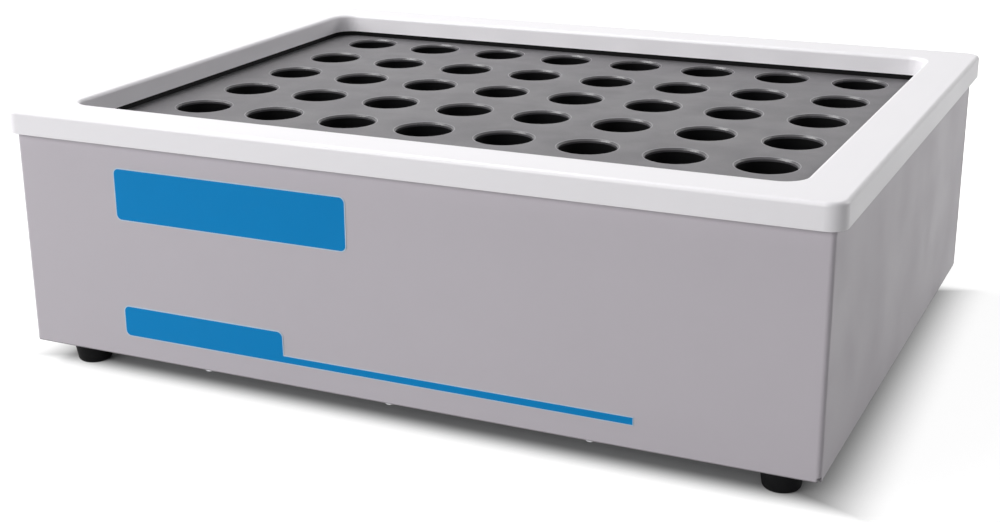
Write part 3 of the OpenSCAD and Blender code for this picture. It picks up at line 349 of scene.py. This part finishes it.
def coated_metal(name, dark, light, roughness, rim_shade_width=0.0):
    """Speckled baked coating, with painted shade that can darken it along the block's border."""
    material, shop, skin, place = start_material(name)
    speckle = shop.ramp(shop.noise(place, 2600.0, detail=2.0), 0.55, 0.72)
    color = shop.mix(shop.math("MULTIPLY", speckle, 0.35), dark, light)
    if rim_shade_width:
        # Painted shade: the top darkens towards the block's border, where the rim shades it
        at = shop.node("SeparateXYZ", {0: place}).outputs
        left_x = shop.math("SUBTRACT", block_high.x, shop.math("ABSOLUTE", at["X"]))
        left_y = shop.math("SUBTRACT", block_high.y, shop.math("ABSOLUTE", at["Y"]))
        rim_shade = shop.ramp(shop.math("MINIMUM", left_x, left_y), 0.15 * rim_shade_width, rim_shade_width, 0.66, 1.0)
        color = shop.node("HueSaturation", {"Value": rim_shade, "Color": color}).outputs["Color"]
    finish_surface(shop, skin, place, color, roughness, drift=0.10, drift_scale=11.0, dust=0.08,
                   scratches=0.25, grain=1100.0, grit=0.7, depth=0.02 * MM)
    return material


def well_shade_lining():
    """The coating inside a well, painted near-black as the shade deep in the well."""
    material, shop, skin, place = start_material("well_shade_lining", Specular_IOR_Level=0.06)
    # Painted shade: the near-black colour stands in for the shade inside the deep well
    finish_surface(shop, skin, place, (0.003, 0.003, 0.0033, 1.0), 0.62, drift=0.20, drift_scale=40.0,
                   scratches=0.2, grain=900.0, depth=0.02 * MM)
    return material


def black_rubber():
    """Moulded rubber with a dull, slightly greyed skin."""
    material, shop, skin, place = start_material("black_rubber", Specular_IOR_Level=0.1)
    finish_surface(shop, skin, place, (0.004, 0.004, 0.0045, 1.0), 0.60, drift=0.25, drift_scale=60.0,
                   wear_and_shade_color=(0.014, 0.014, 0.014, 1.0), wear_and_shade=0.4, wear_and_shade_width=0.8 * MM, dust=0.01,
                   grain=1500.0, grit=0.8, depth=0.03 * MM)
    return material


def brushed_metal(name, color, roughness, line_scale=900.0):
    """Bare metal with lines drawn along X and a slow change of tone."""
    material, shop, skin, place = start_material(name, Metallic=1.0)
    lines = shop.noise(shop.stretched(place, (0.02, 1.0, 1.0)), line_scale, detail=3.0)
    darker = tuple(0.7 * part for part in color[:3]) + (1.0,)
    streaked = shop.mix(shop.math("MULTIPLY", lines, 0.35), color, darker)
    finish_surface(shop, skin, place, streaked, roughness, drift=0.06, drift_scale=14.0,
                   wear_and_shade_color=(0.85, 0.85, 0.86, 1.0), wear_and_shade=0.3, wear_and_shade_width=0.3 * MM, dust=0.05, scratches=0.25,
                   grain=line_scale, grit=0.5, depth=0.006 * MM)
    return material


def plated_sheet():
    """Zinc plated sheet: pale, with large soft spangles."""
    material, shop, skin, place = start_material("plated_sheet", Metallic=1.0)
    cells = shop.node("TexVoronoi", {"Vector": place, "Scale": 120.0}).outputs["Color"]
    tint = shop.node("SeparateColor", {"Color": cells}).outputs[0]
    color = shop.mix(tint, (0.54, 0.55, 0.58, 1.0), (0.68, 0.69, 0.71, 1.0))
    finish_surface(shop, skin, place, color, 0.42, drift=0.05, drift_scale=10.0,
                   wear_and_shade_color=(0.80, 0.80, 0.82, 1.0), wear_and_shade=0.25, dust=0.06, scratches=0.2, depth=0.006 * MM)
    return material


def insulation_board():
    """Off-white pressed fibre board, matted, with darker strands."""
    material, shop, skin, place = start_material("insulation_board", Roughness=0.95)
    drawn_out = shop.stretched(place, (60.0, 420.0, 260.0), 0.4)
    strands = shop.noise(drawn_out, 1.0, detail=5.0, roughness=0.7)
    color = shop.mix(shop.ramp(strands, 0.35, 0.70), (0.82, 0.79, 0.70, 1.0), (0.62, 0.58, 0.49, 1.0))
    finish_surface(shop, skin, place, color, 0.92, drift=0.08, drift_scale=20.0,
                   grain=500.0, grit=1.0, depth=0.25 * MM)
    return material


def heater_silicone():
    """Orange silicone sheet with the weave of its glass cloth showing through."""
    material, shop, skin, place = start_material("heater_silicone")
    warp = shop.node("TexWave", {"Vector": place, "Scale": 260.0}, bands_direction="X").outputs["Fac"]
    weft = shop.node("TexWave", {"Vector": place, "Scale": 260.0}, bands_direction="Y").outputs["Fac"]
    weave = shop.math("MULTIPLY", warp, weft)
    color = shop.mix(weave, (0.42, 0.085, 0.02, 1.0), (0.62, 0.15, 0.04, 1.0))
    finish_surface(shop, skin, place, color, 0.66, drift=0.08, grain=400.0, depth=0.03 * MM)
    return material


def moulded_black(name, roughness=0.40, tone=0.022):
    """Black moulded plastic with a fine spark grain and greyed edges."""
    material, shop, skin, place = start_material(name)
    black = (tone, tone, 1.04 * tone, 1.0)
    finish_surface(shop, skin, place, black, roughness, drift=0.15, drift_scale=30.0,
                   wear_and_shade_color=(0.10, 0.10, 0.10, 1.0), wear_and_shade=0.35, wear_and_shade_width=0.25 * MM, dust=0.05,
                   scratches=0.2, grain=1800.0, grit=0.8, depth=0.012 * MM)
    return material


def label_film():
    """Blue screen-printed film, satin, with a faint unevenness of the ink."""
    material, shop, skin, place = start_material("label_film", Specular_IOR_Level=0.12)
    finish_surface(shop, skin, place, (0.002, 0.255, 0.620, 1.0), 0.34, drift=0.035, drift_scale=22.0,
                   scratches=0.12, grain=1500.0, grit=0.5, depth=0.004 * MM)
    return material


def label_edge():
    """Pale blue of the film's sides and of a thin line round its printed face."""
    material, shop, skin, place = start_material("label_edge")
    finish_surface(shop, skin, place, (0.52, 0.68, 0.80, 1.0), 0.45, drift=0.10, drift_scale=60.0,
                   grain=2000.0, depth=0.004 * MM)
    return material


def board_laminate():
    """Green laminate with copper tracks showing faintly through the mask."""
    material, shop, skin, place = start_material("board_laminate", Coat_Weight=0.3, Coat_Roughness=0.2)
    cells = shop.node("TexVoronoi", {"Vector": place, "Scale": 190.0}, distance="MANHATTAN")
    tracks = shop.ramp(cells.outputs["Distance"], 0.42, 0.46)
    color = shop.mix(tracks, (0.012, 0.105, 0.045, 1.0), (0.03, 0.21, 0.09, 1.0))
    finish_surface(shop, skin, place, color, 0.38, drift=0.06, dust=0.08, grain=900.0)
    return material


def cast_brass(name, color=(0.66, 0.47, 0.19, 1.0)):
    """Turned brass, a little tarnished in patches."""
    material, shop, skin, place = start_material(name, Metallic=1.0)
    tarnish = shop.ramp(shop.noise(place, 90.0, detail=5.0), 0.45, 0.75)
    tone = shop.mix(shop.math("MULTIPLY", tarnish, 0.45), color, (0.36, 0.23, 0.11, 1.0))
    finish_surface(shop, skin, place, tone, 0.30, drift=0.08, drift_scale=50.0,
                   wear_and_shade_color=(0.85, 0.70, 0.40, 1.0), wear_and_shade=0.4, wear_and_shade_width=0.2 * MM, scratches=0.3,
                   grain=1500.0, depth=0.005 * MM)
    return material


def fuse_glass():
    """Clear glass tube with a slight wave."""
    material, shop, skin, place = start_material("fuse_glass", IOR=1.5, Transmission_Weight=0.9)
    finish_surface(shop, skin, place, (0.86, 0.90, 0.88, 1.0), 0.06, drift=0.03, grain=200.0)
    return material


def lead_sleeve(name, color):
    """Extruded insulation with a satin skin."""
    material, shop, skin, place = start_material(name)
    finish_surface(shop, skin, place, color, 0.45, drift=0.10, drift_scale=40.0, dust=0.05,
                   scratches=0.15, grain=1400.0)
    return material


def switch_print():
    """White ink of the switch marks."""
    material, shop, skin, place = start_material("switch_print")
    finish_surface(shop, skin, place, (0.78, 0.78, 0.77, 1.0), 0.50, drift=0.10, drift_scale=200.0,
                   scratches=0.4, grain=2200.0, depth=0.006 * MM)
    return material


# Width of the painted shade that darkens the block's top towards its border, under the rim
BLOCK_RIM_SHADE = 26 * MM

rim_white = white_rim()
enamel = case_enamel()
coating = coated_metal("block_coating", (0.126, 0.121, 0.131, 1.0), (0.224, 0.216, 0.232, 1.0), 0.48,
                       BLOCK_RIM_SHADE)
# Painted highlight: a pale lip where the edge of each well catches the light
lip_highlight = coated_metal("well_lip_highlight", (0.26, 0.25, 0.27, 1.0), (0.37, 0.36, 0.38, 1.0), 0.30)
# Painted shade: a dark chamfer and band at the top of each bore
band_shade = coated_metal("well_band_shade", (0.070, 0.067, 0.073, 1.0), (0.10, 0.097, 0.104, 1.0), 0.28)
lining = well_shade_lining()
rubber = black_rubber()
sheet_steel = plated_sheet()
screw_steel = brushed_metal("screw_steel", (0.62, 0.62, 0.64, 1.0), 0.28)
clamp_metal = brushed_metal("clamp_metal", (0.74, 0.75, 0.76, 1.0), 0.34, 500.0)
port_metal = brushed_metal("port_metal", (0.52, 0.53, 0.55, 1.0), 0.30, 700.0)
fibre = insulation_board()
silicone = heater_silicone()
black_plastic = moulded_black("black_plastic")
gloss_plastic = moulded_black("gloss_plastic", 0.22, 0.018)
film = label_film()
film_edge = label_edge()
laminate = board_laminate()
brass = cast_brass("brass")
gilded = cast_brass("gilded", (0.80, 0.58, 0.22, 1.0))
glass = fuse_glass()
mains_sleeve = lead_sleeve("mains_sleeve", (0.11, 0.045, 0.022, 1.0))
heater_sleeve = lead_sleeve("heater_sleeve", (0.70, 0.69, 0.66, 1.0))
sensor_sleeve = lead_sleeve("sensor_sleeve", (0.035, 0.035, 0.037, 1.0))
ink = switch_print()

FINISHED_NODES = [
    (rim_white, ["top_rim"]),
    (rubber, ["rim_seal", "foot_front_left", "foot_front_right", "foot_rear_left", "foot_rear_right"]),
    (coating, ["heating_block"]),
    (enamel, ["body_shell", "rear_panel"]),
    (sheet_steel, ["top_frame", "base_plate", "block_tray"]),
    (screw_steel, ["foot_screws", "foot_nuts", "rim_screws", "rear_panel_screws", "base_screws",
                   "tray_screws", "clamp_screws", "block_standoffs", "standoff_screws", "port_screws"]),
    (fibre, ["insulation_front", "insulation_rear", "insulation_left", "insulation_right",
             "insulation_under"]),
    (silicone, ["heater_mat_left", "heater_mat_right"]),
    (clamp_metal, ["heater_clamp_plate", "relay_heatsink"]),
    (port_metal, ["block_sensor", "controller_port"]),
    (black_plastic, ["thermal_cutout", "solid_state_relay", "board_parts", "terminal_block",
                     "mains_inlet", "fuse_drawer", "switch_frame"]),
    (gloss_plastic, ["power_rocker"]),
    (laminate, ["control_board"]),
    (brass, ["board_spacers", "earth_stud", "inlet_pins"]),
    (gilded, ["port_pins"]),
    (glass, ["fuses"]),
    (film, ["upper_label", "lower_label"]),
    (mains_sleeve, ["mains_leads"]),
    (heater_sleeve, ["heater_leads"]),
    (sensor_sleeve, ["sensor_lead"]),
]
finish_of = {name: finish for finish, names in FINISHED_NODES for name in names}

for name, node in frame["nodes"].items():
    node.data.materials.clear()
    node.data.materials.append(finish_of[name])

# ---------------------------------------------------------------------------
# Mesh helpers
# ---------------------------------------------------------------------------

# Faces that meet at less than this angle in degrees are shaded as one
SMOOTH_BELOW = 32.0
MERGE_DIST = 0.001 * MM
ROUND_STEPS = 12


def finish_piece(name, bm, body, materials, replaces=()):
    """Turns a bmesh into a named piece that rides on a body and takes its finish from a slot."""
    bmesh.ops.remove_doubles(bm, verts=bm.verts, dist=MERGE_DIST)
    bmesh.ops.recalc_face_normals(bm, faces=bm.faces)
    mesh = bpy.data.meshes.new(name)
    bm.to_mesh(mesh)
    bm.free()
    mesh.polygons.foreach_set("use_smooth", [True] * len(mesh.polygons))
    mesh.set_sharp_from_angle(angle=math.radians(SMOOTH_BELOW))
    for material in materials:
        mesh.materials.append(material)
    piece = bpy.data.objects.new(name, mesh)
    bpy.context.scene.collection.objects.link(piece)
    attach(piece, body)
    if replaces:
        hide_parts(*replaces)


def full_turn(steps):
    """Angles at even steps round a circle."""
    return [math.tau * k / steps for k in range(steps)]


def quarter_turn(steps):
    """Cosine and sine at even steps from 0 to 90 degrees, the first left out."""
    angles = [math.pi / 2 * k / steps for k in range(1, steps + 1)]
    return [(math.cos(angle), math.sin(angle)) for angle in angles]


def corner_loop(half_x, half_y, radius, z):
    """Points of a rectangle with round corners, counter-clockwise from the right side."""
    points = []
    for quarter, (side_x, side_y) in enumerate(((1, 1), (-1, 1), (-1, -1), (1, -1))):
        for step in range(ROUND_STEPS + 1):
            angle = math.radians(90 * (quarter + step / ROUND_STEPS))
            points.append((side_x * (half_x - radius) + radius * math.cos(angle),
                           side_y * (half_y - radius) + radius * math.sin(angle), z))
    return points


def add_ring(bm, points):
    """New vertices at the points, in their order."""
    return [bm.verts.new(point) for point in points]


def join_rings(bm, first, second, index=0):
    """Quads between two rings of as many vertices, with the material at an index."""
    count = len(first)
    for k in range(count):
        after = (k + 1) % count
        face = bm.faces.new((first[k], first[after], second[after], second[k]))
        face.material_index = index


# ---------------------------------------------------------------------------
# Heated block
# ---------------------------------------------------------------------------

WELL_STEPS = 64
WELL_FLOOR_STEPS = 3
CHAMFER = 1.0 * MM
WELL_FLOOR_R = CHAMFER
LIP_W = 0.45 * MM
BAND_H = 1.0 * MM

# How far the lip falls towards the well, and how far outside the bore the chamfer ends
EASE = 0.05 * MM

# Corner radius as in the CAD, the eased edge, and the inset halfway round that edge
BLOCK_R = 16.0 * MM
BLOCK_EDGE = 0.6 * MM
EDGE_MIDDLE = 0.3 * BLOCK_EDGE

# Places of the block's finishes in its list of materials
COATED, LIP_HIGHLIGHT, LINED, BAND_SHADE = range(4)


def add_well(bm, centre_x, centre_y):
    """One cell of the block's top: the coating, a pale lip of painted highlight, a dark chamfer and band of
    painted shade, and a well painted black as shade.
    """
    top = block_high.z
    floor = top - well_depth

    def cell_edge():
        points = []
        for angle in full_turn(WELL_STEPS):
            reach = 1 / max(abs(math.cos(angle)), abs(math.sin(angle)))
            points.append((centre_x + pitch_x / 2 * reach * math.cos(angle),
                           centre_y + pitch_y / 2 * reach * math.sin(angle), top))
        return add_ring(bm, points)

    def ring(radius, z):
        return add_ring(bm, [(centre_x + radius * math.cos(a), centre_y + radius * math.sin(a), z)
                             for a in full_turn(WELL_STEPS)])

    rings = [
        (cell_edge(), COATED),
        (ring(well_r + CHAMFER + LIP_W, top), COATED),
        (ring(well_r + CHAMFER, top - EASE), LIP_HIGHLIGHT),
        (ring(well_r + EASE, top - CHAMFER), BAND_SHADE),
        (ring(well_r, top - CHAMFER - BAND_H), BAND_SHADE),
        (ring(well_r, floor + WELL_FLOOR_R), LINED),
    ]
    for cosine, sine in quarter_turn(WELL_FLOOR_STEPS):
        lower = ring(well_r - WELL_FLOOR_R * (1 - cosine), floor + WELL_FLOOR_R * (1 - sine))
        rings.append((lower, LINED))
    for (first, _), (second, index) in zip(rings, rings[1:]):
        join_rings(bm, first, second, index)
    bottom = bm.faces.new(rings[-1][0])
    bottom.material_index = LINED


def make_block():
    """The block: cells with wells, walls with eased edges, and a plain underside."""
    bm = bmesh.new()
    for column in range(COLUMNS):
        for row in range(ROWS):
            add_well(bm, (column - (COLUMNS - 1) / 2) * pitch_x, (row - (ROWS - 1) / 2) * pitch_y)
    bmesh.ops.remove_doubles(bm, verts=bm.verts, dist=MERGE_DIST)
    grid_edge = [edge for edge in bm.edges if edge.is_boundary]

    def level(inset, z):
        return add_ring(bm, corner_loop(block_high.x - inset, block_high.y - inset, BLOCK_R - inset, z))

    top, low = block_high.z, block_low.z
    walls = [level(0.0, low + BLOCK_EDGE), level(0.0, top - BLOCK_EDGE),
             level(EDGE_MIDDLE, top - EDGE_MIDDLE), level(BLOCK_EDGE, top)]
    underside = level(BLOCK_EDGE, low)
    join_rings(bm, underside, walls[0])
    for first, second in zip(walls, walls[1:]):
        join_rings(bm, first, second)
    bm.faces.new(underside)
    upper = walls[-1]
    outline = [bm.edges.get((a, b)) for a, b in zip(upper, upper[1:] + upper[:1])]
    bmesh.ops.triangle_fill(bm, use_beauty=True, use_dissolve=False, edges=grid_edge + outline,
                            normal=(0.0, 0.0, 1.0))
    finish_piece("block_with_wells", bm, "case", [coating, lip_highlight, lining, band_shade],
                 ["heating_block"])


# ---------------------------------------------------------------------------
# Label plates
# ---------------------------------------------------------------------------

PLATE_R = 3.5 * MM
CORNER_STEPS = 8
PALE_LINE = 0.55 * MM
LOWER_PLATE_W = 101.0 * MM
STRIPE_H = 4.5 * MM

# Places of a plate's finishes in its list of materials
PRINTED, PALE_EDGE = range(2)


def arc_points(centre_x, centre_z, start):
    """A quarter circle at a plate's corner, from an angle in degrees."""
    points = []
    for step in range(CORNER_STEPS + 1):
        angle = math.radians(start + 90.0 * step / CORNER_STEPS)
        points.append((centre_x + PLATE_R * math.cos(angle), centre_z + PLATE_R * math.sin(angle)))
    return points


def make_plate(name, outline, back, front, replaced):
    """A film plate: its outline from the front, pale sides and a thin pale line round a printed face inside it."""
    bm = bmesh.new()
    face = bm.faces.new([bm.verts.new((x, back, z)) for x, z in outline])
    raised = bmesh.ops.extrude_face_region(bm, geom=[face])["geom"]
    fronts = [part for part in raised if isinstance(part, bmesh.types.BMFace)]
    for vert in {vert for face in fronts for vert in face.verts}:
        vert.co.y = front
    for side in bm.faces:
        side.material_index = PALE_EDGE
    bmesh.ops.inset_region(bm, faces=fronts, thickness=PALE_LINE, depth=0.0)
    for printed in fronts:
        printed.material_index = PRINTED
    finish_piece(name, bm, "case", [film, film_edge], [replaced])


def make_upper_plate():
    """The upper plate, round at all four corners."""
    low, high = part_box("upper_label")
    left, right = low.x + PLATE_R, high.x - PLATE_R
    bottom, top = low.z + PLATE_R, high.z - PLATE_R
    outline = (arc_points(right, top, 0) + arc_points(left, top, 90)
               + arc_points(left, bottom, 180) + arc_points(right, bottom, 270))
    make_plate("upper_plate", outline, high.y, low.y, "upper_label")


def make_lower_plate():
    """The lower plate, whose foot runs on to the right as a stripe."""
    low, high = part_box("lower_label")
    plate_end = low.x + LOWER_PLATE_W
    stripe_top = low.z + STRIPE_H
    left, right = low.x + PLATE_R, plate_end - PLATE_R
    bottom, top = low.z + PLATE_R, high.z - PLATE_R
    outline = (arc_points(right, top, 0) + arc_points(left, top, 90) + arc_points(left, bottom, 180)
               + [(high.x, low.z), (high.x, stripe_top), (plate_end, stripe_top)])
    make_plate("lower_plate", outline, high.y, low.y, "lower_label")


# ---------------------------------------------------------------------------
# Marks on the power rocker
# ---------------------------------------------------------------------------

MARK_RISE = 0.08 * MM
MARK_LINE = 0.7 * MM
MARK_R = 2.0 * MM
MARK_STEPS = 32

# As in the CAD: half the rocker's height, and how far its face stands out from the pivot in the middle
ROCKER_HALF = 11.0 * MM
ROCKER_DIP = 1.6 * MM


def add_bar(bm):
    """An upright bar that stands on the plane y = 0."""
    corners = ((-0.5, -1), (0.5, -1), (0.5, 1), (-0.5, 1))
    flat = [(x * MARK_LINE, z * MARK_R) for x, z in corners]
    back, front = [add_ring(bm, [(x, rise, z) for x, z in flat]) for rise in (0.0, MARK_RISE)]
    bm.faces.new(front)
    join_rings(bm, back, front)


def add_circle(bm):
    """A ring of rectangular section that stands on the plane y = 0."""
    inner_r = MARK_R - MARK_LINE
    section = ((MARK_R, 0.0), (MARK_R, MARK_RISE), (inner_r, MARK_RISE), (inner_r, 0.0))
    angles = full_turn(MARK_STEPS)
    rings = [add_ring(bm, [(radius * math.cos(a), rise, radius * math.sin(a)) for a in angles])
             for radius, rise in section]
    for first, second in zip(rings, rings[1:]):
        join_rings(bm, first, second)


def make_rocker_mark(name, side, add_shape):
    """A mark inked on the upper half (side 1) or the lower half (side -1) of the rocker at rest."""
    swing = math.radians(rocker_pivot["range_deg"][1] / 2)
    stand = ROCKER_DIP + 0.5 * ROCKER_HALF * math.tan(swing)
    on_half = Matrix.Translation((0.0, stand, side * 0.5 * ROCKER_HALF))
    facing = Matrix.Rotation(-side * swing, 4, "X")
    at_rest = Matrix.Translation(Vector(rocker_pivot["pos_m"])) @ Matrix.Rotation(-swing, 4, "X")
    bm = bmesh.new()
    add_shape(bm)
    bm.transform(at_rest @ on_half @ facing)
    finish_piece(name, bm, "power_rocker", [ink])


make_block()
make_upper_plate()
make_lower_plate()
make_rocker_mark("rocker_mark_on", -1, add_bar)
make_rocker_mark("rocker_mark_off", 1, add_circle)

# ---------------------------------------------------------------------------
# Floor, light and background
# ---------------------------------------------------------------------------

SKY_LEVEL = 0.02
FLOOR_SIZE = 8.0
FLOOR_TONE = 0.37

# The floor turns white with its distance from the case. Near it, the floor is lifted by FLOOR_LIFT: at
# the sides over SIDE_FADE, at front and rear over FRONT_FADE, both from a first to a last distance that
# shifts along the case by a lean. Farther out, FAR_FADE brings the rest.
FLOOR_LIFT = 0.88
SIDE_FADE = (-20 * MM, 28 * MM)
SIDE_LEAN = 0.02
FRONT_FADE = (-21 * MM, 1 * MM)
FRONT_LEAN = -0.01
FAR_FADE = (60 * MM, 600 * MM)

# Each lamp's place, its width, and its power in watts
LAMPS = {
    "top_lamp": ((-0.8, 0.0, 1.6), 1.0, 19.0),
    "left_lamp": ((-2.2, -0.2, 0.9), 1.2, 21.7),
    "left_front_lamp": ((-1.2, -2.0, 0.9), 1.2, 21.0),
    "front_lamp": ((0.0, -2.2, 1.0), 1.2, 12.0),
    "back_right_lamp": ((1.8, 1.6, 1.0), 1.2, 18.0),
}
LIT_POINT = (0.0, 0.0, 0.1)


def seen_directly(shop):
    """1 for camera, glossy and transmission rays."""
    path = shop.node("LightPath").outputs
    metal = shop.math("MAXIMUM", path["Is Glossy Ray"], path["Is Transmission Ray"])
    return shop.math("MAXIMUM", path["Is Camera Ray"], metal)


def make_world():
    """A faint even light, and plain white where the world itself is seen."""
    world = bpy.data.worlds.new("studio")
    bpy.context.scene.world = world
    world.use_nodes = True
    world.node_tree.nodes.clear()
    shop = Shop(world.node_tree)
    light = shop.node("Background", {"Color": WHITE, "Strength": SKY_LEVEL})
    white = shop.node("Background", {"Color": WHITE, "Strength": 1.0})
    chosen = shop.node("MixShader", {"Fac": seen_directly(shop)})
    shop.plug(chosen.inputs[1], light.outputs[0])
    shop.plug(chosen.inputs[2], white.outputs[0])
    shop.plug(shop.node("OutputWorld").inputs["Surface"], chosen.outputs[0])


def floor_paper():
    """Grey paper that keeps the shadow, lifted to white with its distance from the case."""
    material = bpy.data.materials.new("floor_paper")
    material.use_nodes = True
    material.node_tree.nodes.clear()
    shop = Shop(material.node_tree)
    paper = shop.node("BsdfDiffuse", {"Color": (FLOOR_TONE, FLOOR_TONE, FLOOR_TONE, 1.0)})
    at = shop.node("SeparateXYZ", {0: shop.node("TexCoord").outputs["Object"]}).outputs
    outside_x = shop.math("SUBTRACT", shop.math("ABSOLUTE", at["X"]), shell_high.x)
    outside_y = shop.math("SUBTRACT", shop.math("ABSOLUTE", at["Y"]), shell_high.y)
    leaning_x = shop.math("ADD", outside_x, shop.math("MULTIPLY", at["Y"], SIDE_LEAN))
    leaning_y = shop.math("ADD", outside_y, shop.math("MULTIPLY", at["X"], FRONT_LEAN))
    fade_x = shop.ramp(leaning_x, *SIDE_FADE)
    fade_y = shop.ramp(leaning_y, *FRONT_FADE)
    near = shop.math("MULTIPLY", shop.math("MAXIMUM", fade_x, fade_y), FLOOR_LIFT)
    far = shop.ramp(shop.math("MAXIMUM", outside_x, outside_y), *FAR_FADE, 0.0, 1.0 - FLOOR_LIFT)
    fade = shop.math("ADD", near, far)
    lift = shop.node("Emission", {"Color": WHITE})
    shop.plug(lift.inputs["Strength"], shop.math("MULTIPLY", seen_directly(shop), fade))
    both = shop.node("AddShader", {0: paper.outputs[0], 1: lift.outputs[0]})
    shop.plug(shop.node("OutputMaterial").inputs["Surface"], both.outputs[0])
    return material


def make_floor():
    """A flat floor at z = 0, centred under the object."""
    bm = bmesh.new()
    bmesh.ops.create_grid(bm, x_segments=2, y_segments=2, size=FLOOR_SIZE / 2)
    mesh = bpy.data.meshes.new("floor")
    bm.to_mesh(mesh)
    bm.free()
    mesh.materials.append(floor_paper())
    floor = bpy.data.objects.new("floor", mesh)
    bpy.context.scene.collection.objects.link(floor)


def make_lamp(name, place, width, power):
    """A round area lamp that looks at LIT_POINT."""
    lamp = bpy.data.objects.new(name, bpy.data.lights.new(name, "AREA"))
    bpy.context.scene.collection.objects.link(lamp)
    lamp.data.shape = "DISK"
    lamp.data.size = width
    lamp.data.energy = power
    lamp.location = place
    lamp.rotation_mode = "QUATERNION"
    lamp.rotation_quaternion = (Vector(place) - Vector(LIT_POINT)).to_track_quat("Z", "Y")


make_world()
make_floor()
for name, (place, width, power) in LAMPS.items():
    make_lamp(name, place, width, power)

bpy.context.scene.view_settings.view_transform = "Standard"
